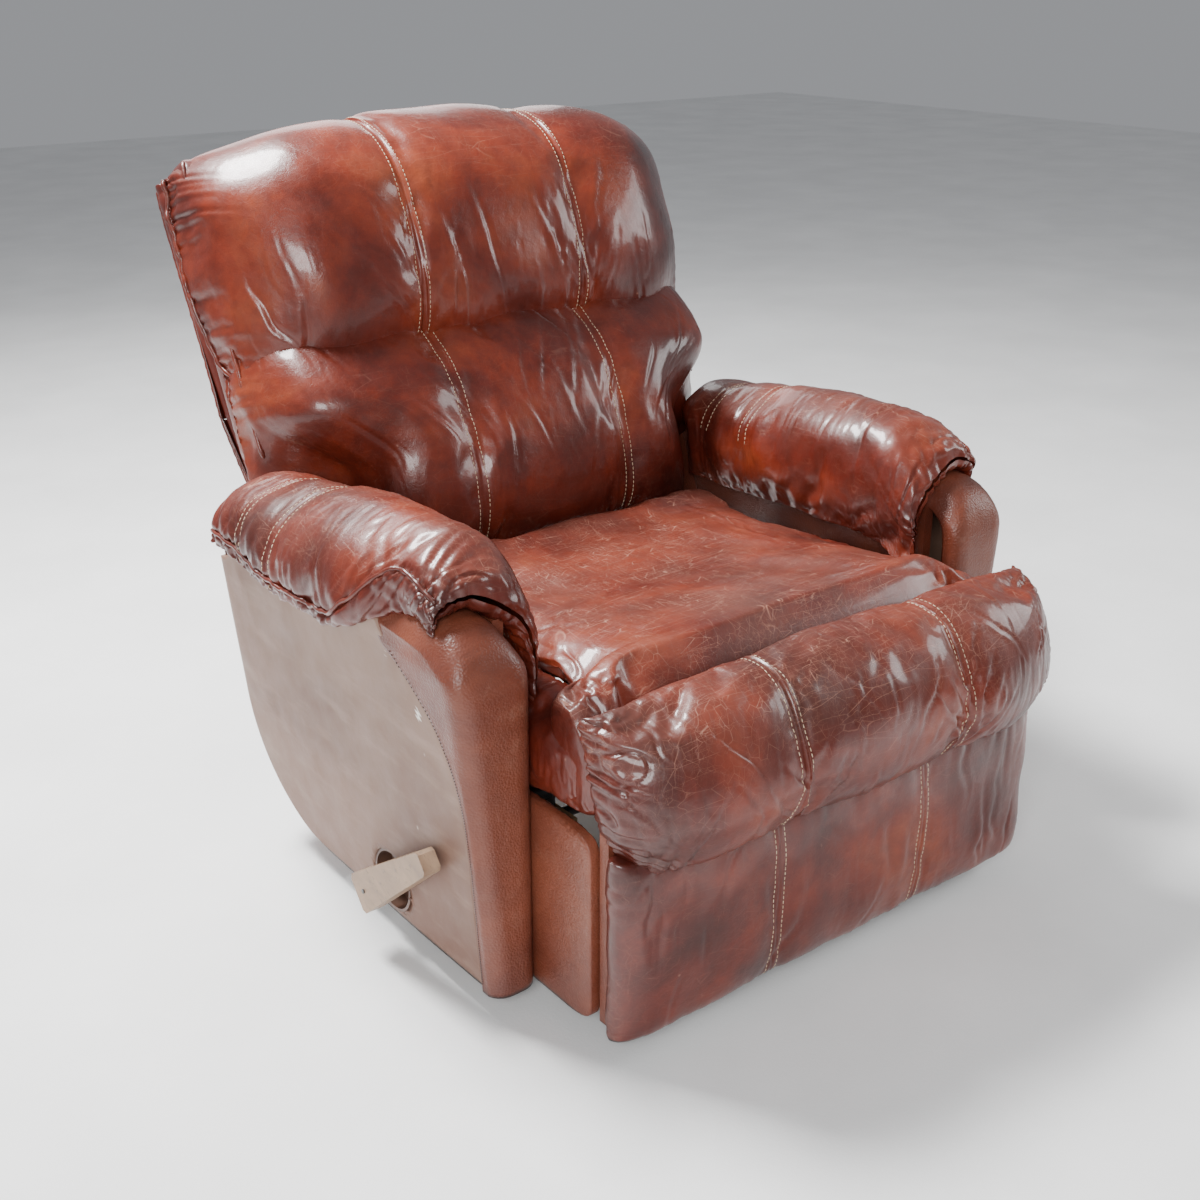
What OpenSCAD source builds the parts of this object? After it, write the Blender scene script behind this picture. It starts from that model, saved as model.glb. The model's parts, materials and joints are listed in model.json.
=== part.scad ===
// Upholstered rocking recliner: leather pillows on a wooden frame, with a lever-operated leg rest.
// Millimetres. +X is the right-hand side seen from the front, the front faces -Y, +Z is up.
// The origin is on the floor under the middle of the whole chair.

/* [Seat and arms] */
// Half the clear width between the two arms
arm_inner_x = 357; // [350:1:365]
// Outer face of an arm at its bottom edge
arm_outer_x = 421; // [416:1:428]
// Outward lean of an arm's outer panel
arm_lean = 5.4; // [4.5:0.1:6]
// Front plane of the arms
arm_front_y = -328; // [-332:1:-324]
// Rear edge of the arms
arm_rear_y = 268; // [262:1:272]
// Height of the arm structure under its pillow
arm_top_z = 500; // [496:1:504]
// Radius of the arm panel's lower rear corner
arm_corner_r = 180; // [150:1:190]
// Height of the seat cushion's top
seat_top_z = 448; // [440:1:455]

/* [Backrest] */
// Lean of the upright back from vertical
back_lean = 25; // [24:0.5:26]
// Height of the back's top rail above its pivot, along the back
back_len = 676; // [670:1:682]
// Half width of the headrest pillow
head_half_w = 404; // [396:1:410]

/* [Rocker base] */
// Radius of the rocking cams about the rocking axis
cam_r = 380; // [360:1:380]
// Height of the rocking axis
rock_z = 450; // [450:1:455]

/* [Leg rest linkage] */
// Length between pivots of each of the two links
link_len = 215; // [215:1:216]
// Radius of the linkage's pivot pins
pin_r = 5; // [4:0.5:6]

/* [Lever] */
// Length of the wooden lever from its pivot
lever_len = 186; // [170:1:190]
// Angle of the closed lever above the horizontal
lever_angle = 38; // [34:1:45]

/* [Hidden] */
$fn = 48;
fit = 0.05;             // radial running clearance of a pin in its bore
gap = 0.5;              // clearance left between neighbouring pieces
wood = "burlywood";
steel = "silver";
leather = "saddlebrown";
vinyl = "rosybrown";

// Pivots, as [y, z]
swing_pivot = [-262, 300];
carrier_pivot = [-410, 220];
shaft_at = [-106, 97];
back_pivot = [160, 300];
seat_pivot = [62, 348];
crank_len = 45;
swing_turn = 85.2;      // how far the swing links turn

// The elbow lies where two links of equal length meet, below the line between their far pivots.
mid = (swing_pivot + carrier_pivot) / 2;
span = carrier_pivot - swing_pivot;
half_span = norm(span) / 2;
drop = sqrt(link_len * link_len - half_span * half_span);
elbow = mid + drop * [-span[1], span[0]] / norm(span);
swing_dir = (elbow - swing_pivot) / link_len;
tail_end = swing_pivot - crank_len * swing_dir;
crank_end = shaft_at - crank_len * swing_dir;

// Planes of the thin steel parts, as the distance from the middle of the chair
plate_x = 300;
plate_t = 4;
link_t = 5;
swing_x = 292;          // swing links, inside the plates
carrier_x = 285;        // carrier links, inside the swing links
bracket_x = 278;        // leg rest brackets, inside the carrier links
bar_x = 307;            // drive bars, outside the plates
crank_x = 314;          // cranks, outside the drive bars
link_w = 26;

rail_x = [222, 250];    // side rails, cams and base rails share these planes
base_top = rock_z - cam_r - 0.3;
base_rail_h = 60;
cam_top = 128;
rail_top = 169;
cross_top = 229;
cross_rail_front = [-45, -5];
cross_rail_rear = [150, 190];

panel_t = 14;
back_half_w = 386;
back_rear = 105.9;      // rear face of the padded outside back, in the back's own frame
cheek_t = 18;
cheek_front_y = -425;
cheek_z = [30, 285];
board_t = 16;
board_y = -431;         // rear face of the leg rest board
board_z = [38, 300];

// ---------- helpers ----------

// Draws its children on both sides of the chair.
module both() {
    children();
    mirror([1, 0, 0]) children();
}

// A block from one corner to the opposite one.
module block(low, high) {
    translate(low) cube(high - low);
}

// A round bar along X.
module bar(x, at, r) {
    translate([x[0], at[0], at[1]]) rotate([0, 90, 0]) cylinder(r = r, h = x[1] - x[0]);
}

// A flat link from pivot a to pivot b, [y, z] each, with round ends and a bore of its own at each.
module flat_link(x, a, b, w, bore_a, bore_b) {
    d = b - a;
    difference() {
        translate([x, a[0], a[1]]) rotate([atan2(d[1], d[0]), 0, 0]) plate(0, link_t) {
            circle(w / 2);
            translate([norm(d), 0]) circle(w / 2);
            translate([0, 0.3 - w / 2]) square([norm(d), w - 0.6]);
        }
        bar([x - 1, x + link_t + 1], a, bore_a);
        bar([x - 1, x + link_t + 1], b, bore_b);
    }
}

// An outline drawn as [y, z], given a thickness along X.
module plate(x, t) {
    translate([x, 0, 0]) rotate([90, 0, 90]) linear_extrude(t) children();
}

// A box with well rounded edges.
module soft_box(low, high, r) {
    hull()
        for (x = [low[0] + r, high[0] - r], y = [low[1] + r, high[1] - r], z = [low[2] + r, high[2] - r])
            translate([x, y, z]) sphere(r, $fn = 24);
}

// The back's own frame: y is its thickness, positive to the rear, and z runs up the back from the pivot.
module on_back() {
    translate([0, back_pivot[0], back_pivot[1]]) rotate([-back_lean, 0, 0]) children();
}

// A wire along a list of points, as one closed tube.
function tube_ring(p, q, r, sides) =
    let (d = (q - p) / norm(q - p), side = norm(cross(d, [0, 0, 1])) > 0.3 ? [0, 0, 1] : [1, 0, 0],
         u = cross(d, side) / norm(cross(d, side)), v = cross(d, u))
    [for (k = [0:sides - 1]) p + r * (cos(360 * k / sides) * u + sin(360 * k / sides) * v)];
module wire(path, r, sides = 8) {
    n = len(path);
    rings = [for (i = [0:n - 1]) each tube_ring(path[i],
        path[i] + (path[min(i + 1, n - 1)] - path[max(i - 1, 0)]), r, sides)];
    side_faces = [for (i = [0:n - 2], k = [0:sides - 1])
        let (a = i * sides + k, b = i * sides + (k + 1) % sides)
        each [[a, b, b + sides], [a, b + sides, a + sides]]];
    ends = [[for (k = [sides - 1:-1:0]) k], [for (k = [0:sides - 1]) (n - 1) * sides + k]];
    polyhedron(points = rings, faces = concat(side_faces, ends), convexity = 6);
}

// ---------- rocker base ----------

module base_rails() {
    color(wood) both() block([rail_x[0], -270, base_top - base_rail_h], [rail_x[1], 270, base_top]);
}

module base_crossbars() {
    color(wood) for (y = [-240, 200])
        block([-rail_x[0] + gap, y, 14], [rail_x[0] - gap, y + 40, 54]);
}

module floor_glides() {
    color("dimgray") both() for (y = [-245, 245])
        translate([(rail_x[0] + rail_x[1]) / 2, y, 0]) cylinder(r = 12, h = base_top - base_rail_h - 0.01);
}

module spring_seats() {
    color(steel) both() {
        block([170, -60, 56], [rail_x[0], 60, 60]);
    }
}

// Two coil springs a side, standing on the spring seats.
module rocker_springs() {
    turns = 4;
    steps = 10;
    coil_r = 15;
    coil_h = 100;
    color(steel) both() for (y = [-35, 35])
        translate([196, y, 62.5])
            wire([for (i = [0:turns * steps]) let (a = 360 * i / steps)
                [coil_r * cos(a), coil_r * sin(a), coil_h * i / (turns * steps)]], 2.4, 5);
}

// ---------- wooden body frame ----------

module rocker_cams() {
    color(wood) both() difference() {
        intersection() {
            bar(rail_x, [0, rock_z], cam_r);
            block([rail_x[0] - 1, -190, 60], [rail_x[1] + 1, 190, cam_top]);
        }
        bar([rail_x[0] - 1, rail_x[1] + 1], shaft_at, 13);
    }
}

module frame_side_rails() {
    color(wood) both() block([rail_x[0], -225, cam_top], [rail_x[1], 225, rail_top]);
}

module frame_cross_rails() {
    color(wood) for (y = [cross_rail_front, cross_rail_rear])
        block([-arm_inner_x, y[0], rail_top], [arm_inner_x, y[1], cross_top]);
}

// Steel straps that join the cams to the side rails, with two screw heads each.
module cam_plates() {
    color(steel) both() for (y = [-150, 110]) {
        block([rail_x[0] - 3, y, 98], [rail_x[0], y + 36, 160]);
        for (z = [112, 148]) bar([rail_x[0] - 6, rail_x[0] - 3], [y + 18, z], 6);
    }
}

module spring_caps() {
    color(steel) both() block([170, -60, 165.5], [rail_x[0], 60, rail_top]);
}

// The plywood wall on the sitter's side of each arm.
module inner_panel() {
    color(wood) plate(arm_inner_x, panel_t + 1) difference() {
        arm_outline(0, arm_front_y + 60);
        translate([shaft_at[0], shaft_at[1]]) circle(16);
    }
}

// Outline of an arm wall as [y, z], from its front edge to the rounded lower rear corner.
module arm_outline(top_drop, front_y) {
    bottom = 42;
    translate([front_y, bottom])
        square([arm_rear_y - arm_corner_r - front_y, arm_top_z - top_drop - bottom]);
    translate([front_y, bottom + arm_corner_r])
        square([arm_rear_y - front_y, arm_top_z - top_drop - bottom - arm_corner_r]);
    translate([arm_rear_y - arm_corner_r, bottom + arm_corner_r]) circle(arm_corner_r, $fn = 96);
}

post_x = arm_inner_x + panel_t + 1;
module arm_posts() {
    color(wood) both() {
        block([post_x, -245, 50], [post_x + 26, -205, 478]);
        block([post_x, 205, 230], [post_x + 26, 245, 478]);
    }
}

module arm_top_rails() {
    color(wood) both() block([post_x, -245, 478], [post_x + 58, 245, arm_top_z - 2]);
}

// The leather-covered outer wall, leaning outwards, with a hole for the lever's cup on one side.
module side_panel(cup_hole) {
    color(vinyl) difference() {
        translate([arm_outer_x - panel_t, 0, 42]) rotate([0, arm_lean, 0]) translate([0, 0, -42])
            plate(0, panel_t) difference() {
                arm_outline(12, arm_front_y + 79);
                translate([arm_front_y + 79, 470]) square([40, 60]);
            }
        if (cup_hole) bar([arm_outer_x - 40, arm_outer_x + 60], shaft_at, 43 + gap);
    }
}

// The rounded leather front of an arm, wider at the top than at the bottom.
module arm_facing() {
    top_x = arm_outer_x + (arm_top_z - 42) * tan(arm_lean) - 12;
    dome_r = (top_x - arm_inner_x) / 2;
    color(leather) translate([0, arm_front_y + 58, 0]) rotate([90, 0, 0]) linear_extrude(58) {
        polygon([[arm_inner_x, 36], [arm_outer_x, 36], [top_x, arm_top_z - dome_r + 20],
                 [arm_inner_x, arm_top_z - dome_r + 20]]);
        translate([arm_inner_x + dome_r, arm_top_z - dome_r + 20]) circle(dome_r);
    }
}

// The saddle-shaped pillow that wraps the top of an arm.
module arm_pillow() {
    inner = arm_inner_x - 57;
    outer = 501;
    crown = 48;
    rear = 204;
    front = -268;
    color(leather) difference() {
        arm_section(inner, outer, crown, rear, front);
        translate([250, -100, arm_top_z + 90]) rotate([-9, 0, 0]) cube([300, 400, 90]);
    }
}

module arm_section(inner, outer, crown, rear, front) {
    translate([0, rear, 0]) rotate([90, 0, 0]) linear_extrude(rear - front) {
        translate([inner, 405 + 27]) square([56, 130]);
        translate([inner + 27, 405 + 27]) circle(27);
        translate([inner + crown, arm_top_z + 1]) square([outer - inner - 2 * crown, 95]);
        translate([inner, arm_top_z + 1]) square([outer - inner, 95 - crown]);
        translate([inner + crown, arm_top_z + 96 - crown]) circle(crown);
        translate([outer - crown, arm_top_z + 96 - crown]) circle(crown);
        translate([outer - 30, 450 + 15]) square([30, 50]);
        translate([outer - 15, 450 + 15]) circle(15);
    }
}

module front_cheek() {
    color(leather)
        block([arm_inner_x - cheek_t - gap, cheek_front_y, cheek_z[0]], [arm_inner_x - gap, -255, cheek_z[1]]);
}

// ---------- steel mechanism fixed to the frame ----------

module mechanism_plates() {
    color(steel) both() difference() {
        plate(plate_x, plate_t) {
            polygon([[-285, 245], [-285, 322], [40, 322], [45, 366], [80, 366], [90, 322], [182, 322],
                     [182, 262], [120, 245]]);
            polygon([[-140, 246], [-128, 78], [-82, 78], [-74, 246]]);
        }
        tail_slot();
        bar([plate_x - 1, plate_x + plate_t + 1], swing_pivot, pin_r + fit);
        bar([plate_x - 1, plate_x + plate_t + 1], back_pivot, pin_r + 2 + fit);
        bar([plate_x - 1, plate_x + plate_t + 1], seat_pivot, pin_r + fit);
        bar([plate_x - 1, plate_x + plate_t + 1], shaft_at, 12 + fit);
    }
}

// The arc-shaped slot that lets the swing links' tail pins through the plates.
module tail_slot() {
    low = atan2(tail_end[1] - swing_pivot[1], tail_end[0] - swing_pivot[0]) - swing_turn - 12;
    translate([plate_x - 1, swing_pivot[0], swing_pivot[1]]) rotate([90, 0, 90]) linear_extrude(plate_t + 2)
        difference() {
            circle(crank_len + pin_r + 2);
            circle(crank_len - pin_r - 2);
            polygon([[0, 0], 90 * [cos(low), sin(low)], 130 * [cos(low - 50), sin(low - 50)],
                     130 * [cos(low - 110), sin(low - 110)], 130 * [cos(low - 170), sin(low - 170)],
                     90 * [cos(low - 240), sin(low - 240)]]);
        }
}

module plate_spacers() {
    color(steel) both() {
        bar([plate_x + plate_t, arm_inner_x - cheek_t - gap], [-270, 258], 9);
        for (at = [[-100, 300], [140, 262]]) bar([plate_x + plate_t, arm_inner_x], at, 9);
    }
}

// Ledges that the seat rails lie on.
module seat_rests() {
    color(steel) both() {
        block([256, -180, 325.8], [plate_x, -140, 329.8]);
        block([plate_x - 4, -180, 300], [plate_x, -140, 325.8]);
    }
}

// The round dish behind the lever.
module handle_cup() {
    rim_x = arm_outer_x + 6;
    color("sienna") mirror([1, 0, 0]) difference() {
        union() {
            bar([rim_x - 24, rim_x - 1], shaft_at, 43);
            bar([rim_x - 1, rim_x + 2], shaft_at, 43);
        }
        bar([rim_x - 20, rim_x + 5], shaft_at, 39);
        bar([rim_x - 30, rim_x + 5], shaft_at, 8 + 1);
    }
}

module shaft_bushes() {
    color("black") both() difference() {
        union() {
            bar([plate_x, plate_x + plate_t], shaft_at, 12);
            bar([plate_x + plate_t, plate_x + plate_t + 2], shaft_at, 15);
        }
        bar([plate_x - 1, plate_x + 10], shaft_at, 8 + fit);
    }
}

module link_pivot_pins() {
    color(steel) both() bar([swing_x - 2, plate_x + plate_t + 1], swing_pivot, pin_r);
}

module back_pivot_pins() {
    color(steel) both() bar([plate_x - 2, bar_x + 8], back_pivot, pin_r + 2);
}

module seat_pivot_pins() {
    color(steel) both() bar([270, plate_x + plate_t + 2], seat_pivot, pin_r);
}

// ---------- lever and drive ----------

// The tapered wooden lever: a wide end over the shaft and a narrow grip.
lever_x = [448, 471];
module lever() {
    x = lever_x;
    heel = -24;
    color("tan") mirror([1, 0, 0]) difference() {
        translate([x[0], shaft_at[0], shaft_at[1]]) rotate([180 - lever_angle, 0, 0]) plate(0, x[1] - x[0]) {
            polygon([[heel, 21], [heel + 6, 27], [lever_len - 5, 15], [lever_len, 10],
                     [lever_len, -10], [lever_len - 5, -15], [heel + 6, -27], [heel, -21]]);
        }
        bar([x[0] - 1, x[0] + 12], shaft_at, 8);
        bar([x[0] + 11, x[1] + 1], shaft_at, 3);
    }
}

module lever_bolt() {
    color(steel) mirror([1, 0, 0]) bar([lever_x[0] + 12.2, lever_x[1] + 2], shaft_at, 2.9);
}

module drive_shaft() {
    color(steel) bar([-lever_x[0] - 12, 322], shaft_at, 8);
}

module drive_cranks() {
    color(steel) both() flat_link(crank_x, shaft_at, crank_end, 30, 8, pin_r);
}

module crank_pins() {
    color(steel) both() bar([bar_x - 1, crank_x + link_t], crank_end, pin_r);
}

// The bars that carry the shaft's turn to the tails of the swing links.
module drive_bars() {
    color(steel) both() flat_link(bar_x, crank_end, tail_end, 18, pin_r + fit, pin_r + 0.4);
}

module swing_links() {
    color(steel) both() difference() {
        flat_link(swing_x, tail_end, elbow, link_w, pin_r, pin_r);
        bar([swing_x - 1, swing_x + link_t + 1], swing_pivot, pin_r + fit);
    }
}

module tail_pins() {
    color(steel) both() bar([swing_x, bar_x + link_t + 1], tail_end, pin_r);
}

module elbow_pins() {
    color(steel) both() bar([carrier_x - 1, swing_x + link_t], elbow, pin_r);
}

module carrier_links() {
    color(steel) both() flat_link(carrier_x, elbow, carrier_pivot, link_w, pin_r + fit, pin_r);
}

module carrier_pins() {
    color(steel) both() bar([bracket_x, carrier_x + link_t + 1], carrier_pivot, pin_r);
}

// ---------- leg rest ----------

module legrest_board() {
    color(wood) block([-345, board_y - board_t, board_z[0]], [345, board_y, board_z[1]]);
}

module legrest_brackets() {
    color(steel) both() {
        difference() {
            plate(bracket_x, link_t) polygon([[board_y, 170], [board_y, 270], [-405, 236], [-394, 220], [-405, 204]]);
            bar([bracket_x - 1, bracket_x + link_t + 1], carrier_pivot, pin_r + fit);
        }
        block([bracket_x - 22, board_y - 0, 170], [bracket_x, board_y + 3, 270]);
    }
}

// The crowned leather pad on the lower half of the leg rest.
module legrest_panel() {
    front = board_y - board_t;
    color(leather) difference() {
        soft_box([-361, front - 52, 30], [361, board_y, 262], 12);
        block([-346, front - gap, board_z[0] - 1], [346, board_y + 1, 400]);
    }
}

// The thick bolster over the top of the leg rest.
module legrest_pillow() {
    front = board_y - board_t - 54;
    color(leather) hull() {
        for (x = [-1, 1]) {
            translate([334 * x, front - 5, 305]) sphere(36, $fn = 24);
            translate([318 * x, front + 22, 405]) sphere(44, $fn = 24);
            translate([322 * x, board_y - 34, 400]) sphere(36, $fn = 24);
            translate([334 * x, board_y - 34, 346]) sphere(36, $fn = 24);
        }
    }
}

// ---------- seat ----------

module seat_side_rails() {
    color(wood) both() difference() {
        block([254, -380, 330], [274, 80, 366]);
        bar([250, 280], seat_pivot, pin_r + fit);
    }
}

module seat_cross_rails() {
    color(wood) for (y = [-380, 20]) block([-254 + gap, y, 330], [254 - gap, y + 30, 366]);
}

// Zigzag wire springs from the front rail to the rear rail.
module seat_springs() {
    pitch = 22;
    half = 22;
    color(steel) for (x = [-180, -90, 0, 90, 180])
        wire([for (i = [0:19]) [x + half * (i % 2 == 0 ? -1 : 1), -372 + i * pitch - (i == 19 ? 4 : 0),
             367.8 + 6 * sin(180 * i / 19)]], 1.8, 6);
}

module seat_cushion() {
    color(leather) difference() {
        soft_box([-297, -331, 378], [297, 38, seat_top_z], 34);
        block([-400, -400, 300], [400, 100, 377.5]);
    }
}

module seat_front_roll() {
    color(leather) difference() {
        soft_box([-357, -424, 288], [357, -332.5, 425], 34);
        block([-280, -398, 280], [280, -300, 373]);
        both() block([284, -440, 280], [304, -300, 305]);
    }
}

// ---------- backrest ----------

module back_brackets() {
    color(steel) both() difference() {
        on_back() plate(bar_x - 1, 5) polygon([[-18, -16], [16, -16], [30, 40], [30, 150], [4, 150], [4, 60], [-18, 20]]);
        bar([bar_x - 2, bar_x + 6], back_pivot, pin_r + 2 + fit);
    }
}

module back_uprights() {
    color(wood) on_back() both() block([312, 0, 34], [342, 60, back_len]);
}

module back_rails() {
    color(wood) on_back() {
        block([-bar_x + 1, 4, 70], [bar_x - 1, 40, 115]);
        for (z = [380, back_len - 45]) block([-312, 4, z], [312, 40, z + 45]);
    }
}

module back_springs() {
    pitch = 24;
    half = 22;
    color(steel) on_back() for (x = [-200, -100, 0, 100, 200])
        wire([for (i = [0:25]) [x + half * (i % 2 == 0 ? -1 : 1), -1.2 - 2 * sin(180 * i / 25),
             80 + i * pitch]], 1.8, 6);
}

module back_wing() {
    color(leather) on_back() block([342 + gap, -20, 262], [back_half_w, 60, back_len]);
}

module back_outer_cover() {
    color(leather) on_back() {
        block([-back_half_w, 60 + gap, 172], [back_half_w, back_rear, back_len]);
        block([-350, 60 + gap, 24], [350, back_rear, 172]);
    }
}

// The lumbar pillow: narrow between the arms and full width above them.
module back_pillow() {
    color(leather) on_back() {
        hull() for (x = [-256, 256]) {
            for (y = [-112, -44]) translate([x, y, 112]) sphere(36, $fn = 24);
            for (y = [-104, -44]) translate([x, y, 396]) sphere(36, $fn = 24);
        }
        hull() for (x = [-342, 342], z = [366, 396], y = [-88, -54]) translate([x, y, z]) sphere(30, $fn = 24);
    }
}

module headrest_pillow() {
    color(leather) on_back() difference() {
        hull() for (x = [-head_half_w + 45, head_half_w - 45]) {
            for (y = [-112, -52]) translate([x, y, 480]) sphere(45, $fn = 24);
            for (y = [-88, 12]) translate([x * 0.97, y, back_len + 14]) sphere(45, $fn = 24);
        }
        block([-420, -22, 420], [420, 100, back_len + 2]);
    }
}

// ---------- assembly ----------

base_rails();
base_crossbars();
floor_glides();
rocker_springs();
spring_seats();
rocker_cams();
frame_side_rails();
frame_cross_rails();
cam_plates();
spring_caps();
mirror([1, 0, 0]) inner_panel();  // inner_panel_left
inner_panel();  // inner_panel_right
arm_posts();
arm_top_rails();
mirror([1, 0, 0]) side_panel(true);  // side_panel_left
side_panel(false);  // side_panel_right
mirror([1, 0, 0]) arm_facing();  // arm_facing_left
arm_facing();  // arm_facing_right
mirror([1, 0, 0]) arm_pillow();  // arm_pillow_left
arm_pillow();  // arm_pillow_right
mirror([1, 0, 0]) front_cheek();  // front_cheek_left
front_cheek();  // front_cheek_right
mechanism_plates();
plate_spacers();
seat_rests();
handle_cup();
shaft_bushes();
link_pivot_pins();
back_pivot_pins();
seat_pivot_pins();
lever();
lever_bolt();
drive_shaft();
drive_cranks();
crank_pins();
drive_bars();
swing_links();
tail_pins();
elbow_pins();
carrier_links();
carrier_pins();
legrest_board();
legrest_brackets();
legrest_panel();
legrest_pillow();
seat_side_rails();
seat_cross_rails();
seat_springs();
seat_cushion();
seat_front_roll();
back_brackets();
back_uprights();
back_rails();
back_springs();
mirror([1, 0, 0]) back_wing();  // back_wing_left
back_wing();  // back_wing_right
back_outer_cover();
back_pillow();
headrest_pillow();
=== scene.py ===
import math
import random

import bmesh
import bpy
import json
import numpy as np
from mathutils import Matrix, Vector
from mathutils.bvhtree import BVHTree


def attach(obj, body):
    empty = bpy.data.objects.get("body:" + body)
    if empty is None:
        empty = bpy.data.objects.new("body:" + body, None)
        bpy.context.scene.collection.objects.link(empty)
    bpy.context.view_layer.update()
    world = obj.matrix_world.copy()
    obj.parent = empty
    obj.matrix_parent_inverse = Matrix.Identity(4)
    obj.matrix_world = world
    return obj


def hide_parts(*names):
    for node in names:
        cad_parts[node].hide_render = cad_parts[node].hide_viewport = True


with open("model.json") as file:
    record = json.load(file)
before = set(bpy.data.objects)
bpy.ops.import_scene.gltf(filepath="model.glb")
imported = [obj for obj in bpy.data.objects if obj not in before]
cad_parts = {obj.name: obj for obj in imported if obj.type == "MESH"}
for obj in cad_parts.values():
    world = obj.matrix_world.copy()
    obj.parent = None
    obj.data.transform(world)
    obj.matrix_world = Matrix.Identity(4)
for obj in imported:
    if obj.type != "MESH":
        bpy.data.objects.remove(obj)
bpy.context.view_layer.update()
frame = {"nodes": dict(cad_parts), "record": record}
scene = bpy.context.scene
nodes = frame["nodes"]

# Camera, floor and lights. The camera stands in front of the lever side, a little above the headrest,
# and the floor is a wide pale slab. Four soft panels light the leather from above, behind and in front.
camera = bpy.data.objects.new("camera", bpy.data.cameras.new("camera"))
scene.collection.objects.link(camera)
camera.location = (-1.240, -1.590, 1.194)
camera.rotation_euler = (math.radians(90 - 22.97), 0, math.radians(-37.69))
camera.data.sensor_width = 36
camera.data.lens = 46.06
scene.camera = camera


def soft_light(name, at, aim, size, watts):
    """One rectangular light panel, turned to face a point."""
    panel = bpy.data.lights.new(name, "AREA")
    panel.shape = "RECTANGLE"
    panel.size, panel.size_y = size
    panel.energy = watts
    lamp = bpy.data.objects.new(name, panel)
    scene.collection.objects.link(lamp)
    lamp.location = at
    lamp.rotation_euler = (Vector(aim) - Vector(at)).to_track_quat("-Z", "Y").to_euler()


soft_light("panel_over", (-0.75, 1.05, 2.6), (0, 0, 0.5), (0.95, 0.65), 235)
soft_light("panel_front", (-2.3, -2.4, 1.9), (0, 0, 0.5), (1.2, 1.2), 100)
soft_light("panel_right", (2.6, -1.3, 1.5), (0, 0, 0.45), (1.2, 1.2), 38)
soft_light("panel_back", (1.2, 3.0, 1.8), (0, 0, 0.5), (1.8, 1.2), 22)
world = bpy.data.worlds.new("studio")
scene.world = world
world.use_nodes = True
world.node_tree.nodes["Background"].inputs[0].default_value = (0.93, 0.95, 1.0, 1)
world.node_tree.nodes["Background"].inputs[1].default_value = 0.34


class Tone:
    """A number or a colour inside one finish. Arithmetic on it adds Math nodes to the finish."""

    def __init__(self, finish, socket):
        self.finish, self.socket = finish, socket

    def _math(self, operation, a, b):
        return self.finish.node("ShaderNodeMath", {"operation": operation}, {0: a, 1: b})

    def __add__(self, other):
        return self._math("ADD", self, other)

    def __radd__(self, other):
        return self._math("ADD", other, self)

    def __sub__(self, other):
        return self._math("SUBTRACT", self, other)

    def __rsub__(self, other):
        return self._math("SUBTRACT", other, self)

    def __mul__(self, other):
        return self._math("MULTIPLY", self, other)

    def __rmul__(self, other):
        return self._math("MULTIPLY", other, self)


class Finish:
    """A material whose colour, gloss and relief are built from nodes."""

    def __init__(self, name, **constants):
        self.material = bpy.data.materials.new(name)
        self.material.use_nodes = True
        self.tree = self.material.node_tree
        self.shader = self.tree.nodes["Principled BSDF"]
        for socket, value in constants.items():
            self.shader.inputs[socket.replace("_", " ")].default_value = value
        self.place = self.node("ShaderNodeTexCoord", output="Object")

    def node(self, kind, settings=None, sockets=None, output=0):
        made = self.tree.nodes.new(kind)
        for key, value in (settings or {}).items():
            if key == "stops":
                ramp = made.color_ramp
                while len(ramp.elements) < len(value):
                    ramp.elements.new(0.5)
                for element, (at, colour) in zip(ramp.elements, value):
                    element.position = at
                    element.color = (*colour, 1) if len(colour) == 3 else colour
            else:
                setattr(made, key, value)
        for key, value in (sockets or {}).items():
            if isinstance(value, Tone):
                self.tree.links.new(value.socket, made.inputs[key])
            else:
                made.inputs[key].default_value = value
        return Tone(self, made.outputs[output])

    def stretched(self, scale, turn=(0, 0, 0)):
        """The piece's own coordinates, stretched and turned."""
        return self.node("ShaderNodeMapping", {}, {"Vector": self.place, "Scale": scale, "Rotation": turn})

    def noise(self, scale, detail=4, rough=0.55, at=None, distortion=0.0):
        return self.node("ShaderNodeTexNoise", {}, {
            "Vector": at or self.place, "Scale": scale, "Detail": detail,
            "Roughness": rough, "Distortion": distortion})

    def cells(self, scale, feature="DISTANCE_TO_EDGE", at=None):
        return self.node("ShaderNodeTexVoronoi", {"feature": feature},
                         {"Vector": at or self.place, "Scale": scale})

    def between(self, value, low, high, out_low=0.0, out_high=1.0):
        """A value moved from one range to another and held inside it."""
        return self.node("ShaderNodeMapRange", {"clamp": True}, {
            0: value, 1: low, 2: high, 3: out_low, 4: out_high})

    def mix(self, factor, a, b):
        made = self.tree.nodes.new("ShaderNodeMix")
        made.data_type = "RGBA"
        for index, value in ((0, factor), (6, a), (7, b)):
            if isinstance(value, Tone):
                self.tree.links.new(value.socket, made.inputs[index])
            elif index:
                made.inputs[index].default_value = (*value, 1)
            else:
                made.inputs[index].default_value = value
        return Tone(self, made.outputs[2])

    def wear_and_sheen_mask(self):
        """How much wear a point has, painted on the piece. On glossy tops the same value also carries a
        painted sheen.
        """
        return self.node("ShaderNodeAttribute", {"attribute_name": "wear"}, output="Fac")

    def relief(self, height, strength, distance, under=None):
        sockets = {"Height": height, "Strength": strength, "Distance": distance}
        if under:
            sockets["Normal"] = under
        return self.node("ShaderNodeBump", {}, sockets)

    def apply(self, **sockets):
        for key, value in sockets.items():
            self.tree.links.new(value.socket, self.shader.inputs[key.replace("_", " ")])
        return self.material


def floor_finish():
    f = Finish("floor_finish", Roughness=0.8)
    tint = f.node("ShaderNodeValToRGB", {"stops": [(0.35, (0.80, 0.80, 0.795)), (0.7, (0.88, 0.88, 0.875))]},
                  {0: f.noise(3.0, 5)})
    return f.apply(Base_Color=tint, Normal=f.relief(f.noise(220, 3), 0.15, 0.002))


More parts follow.
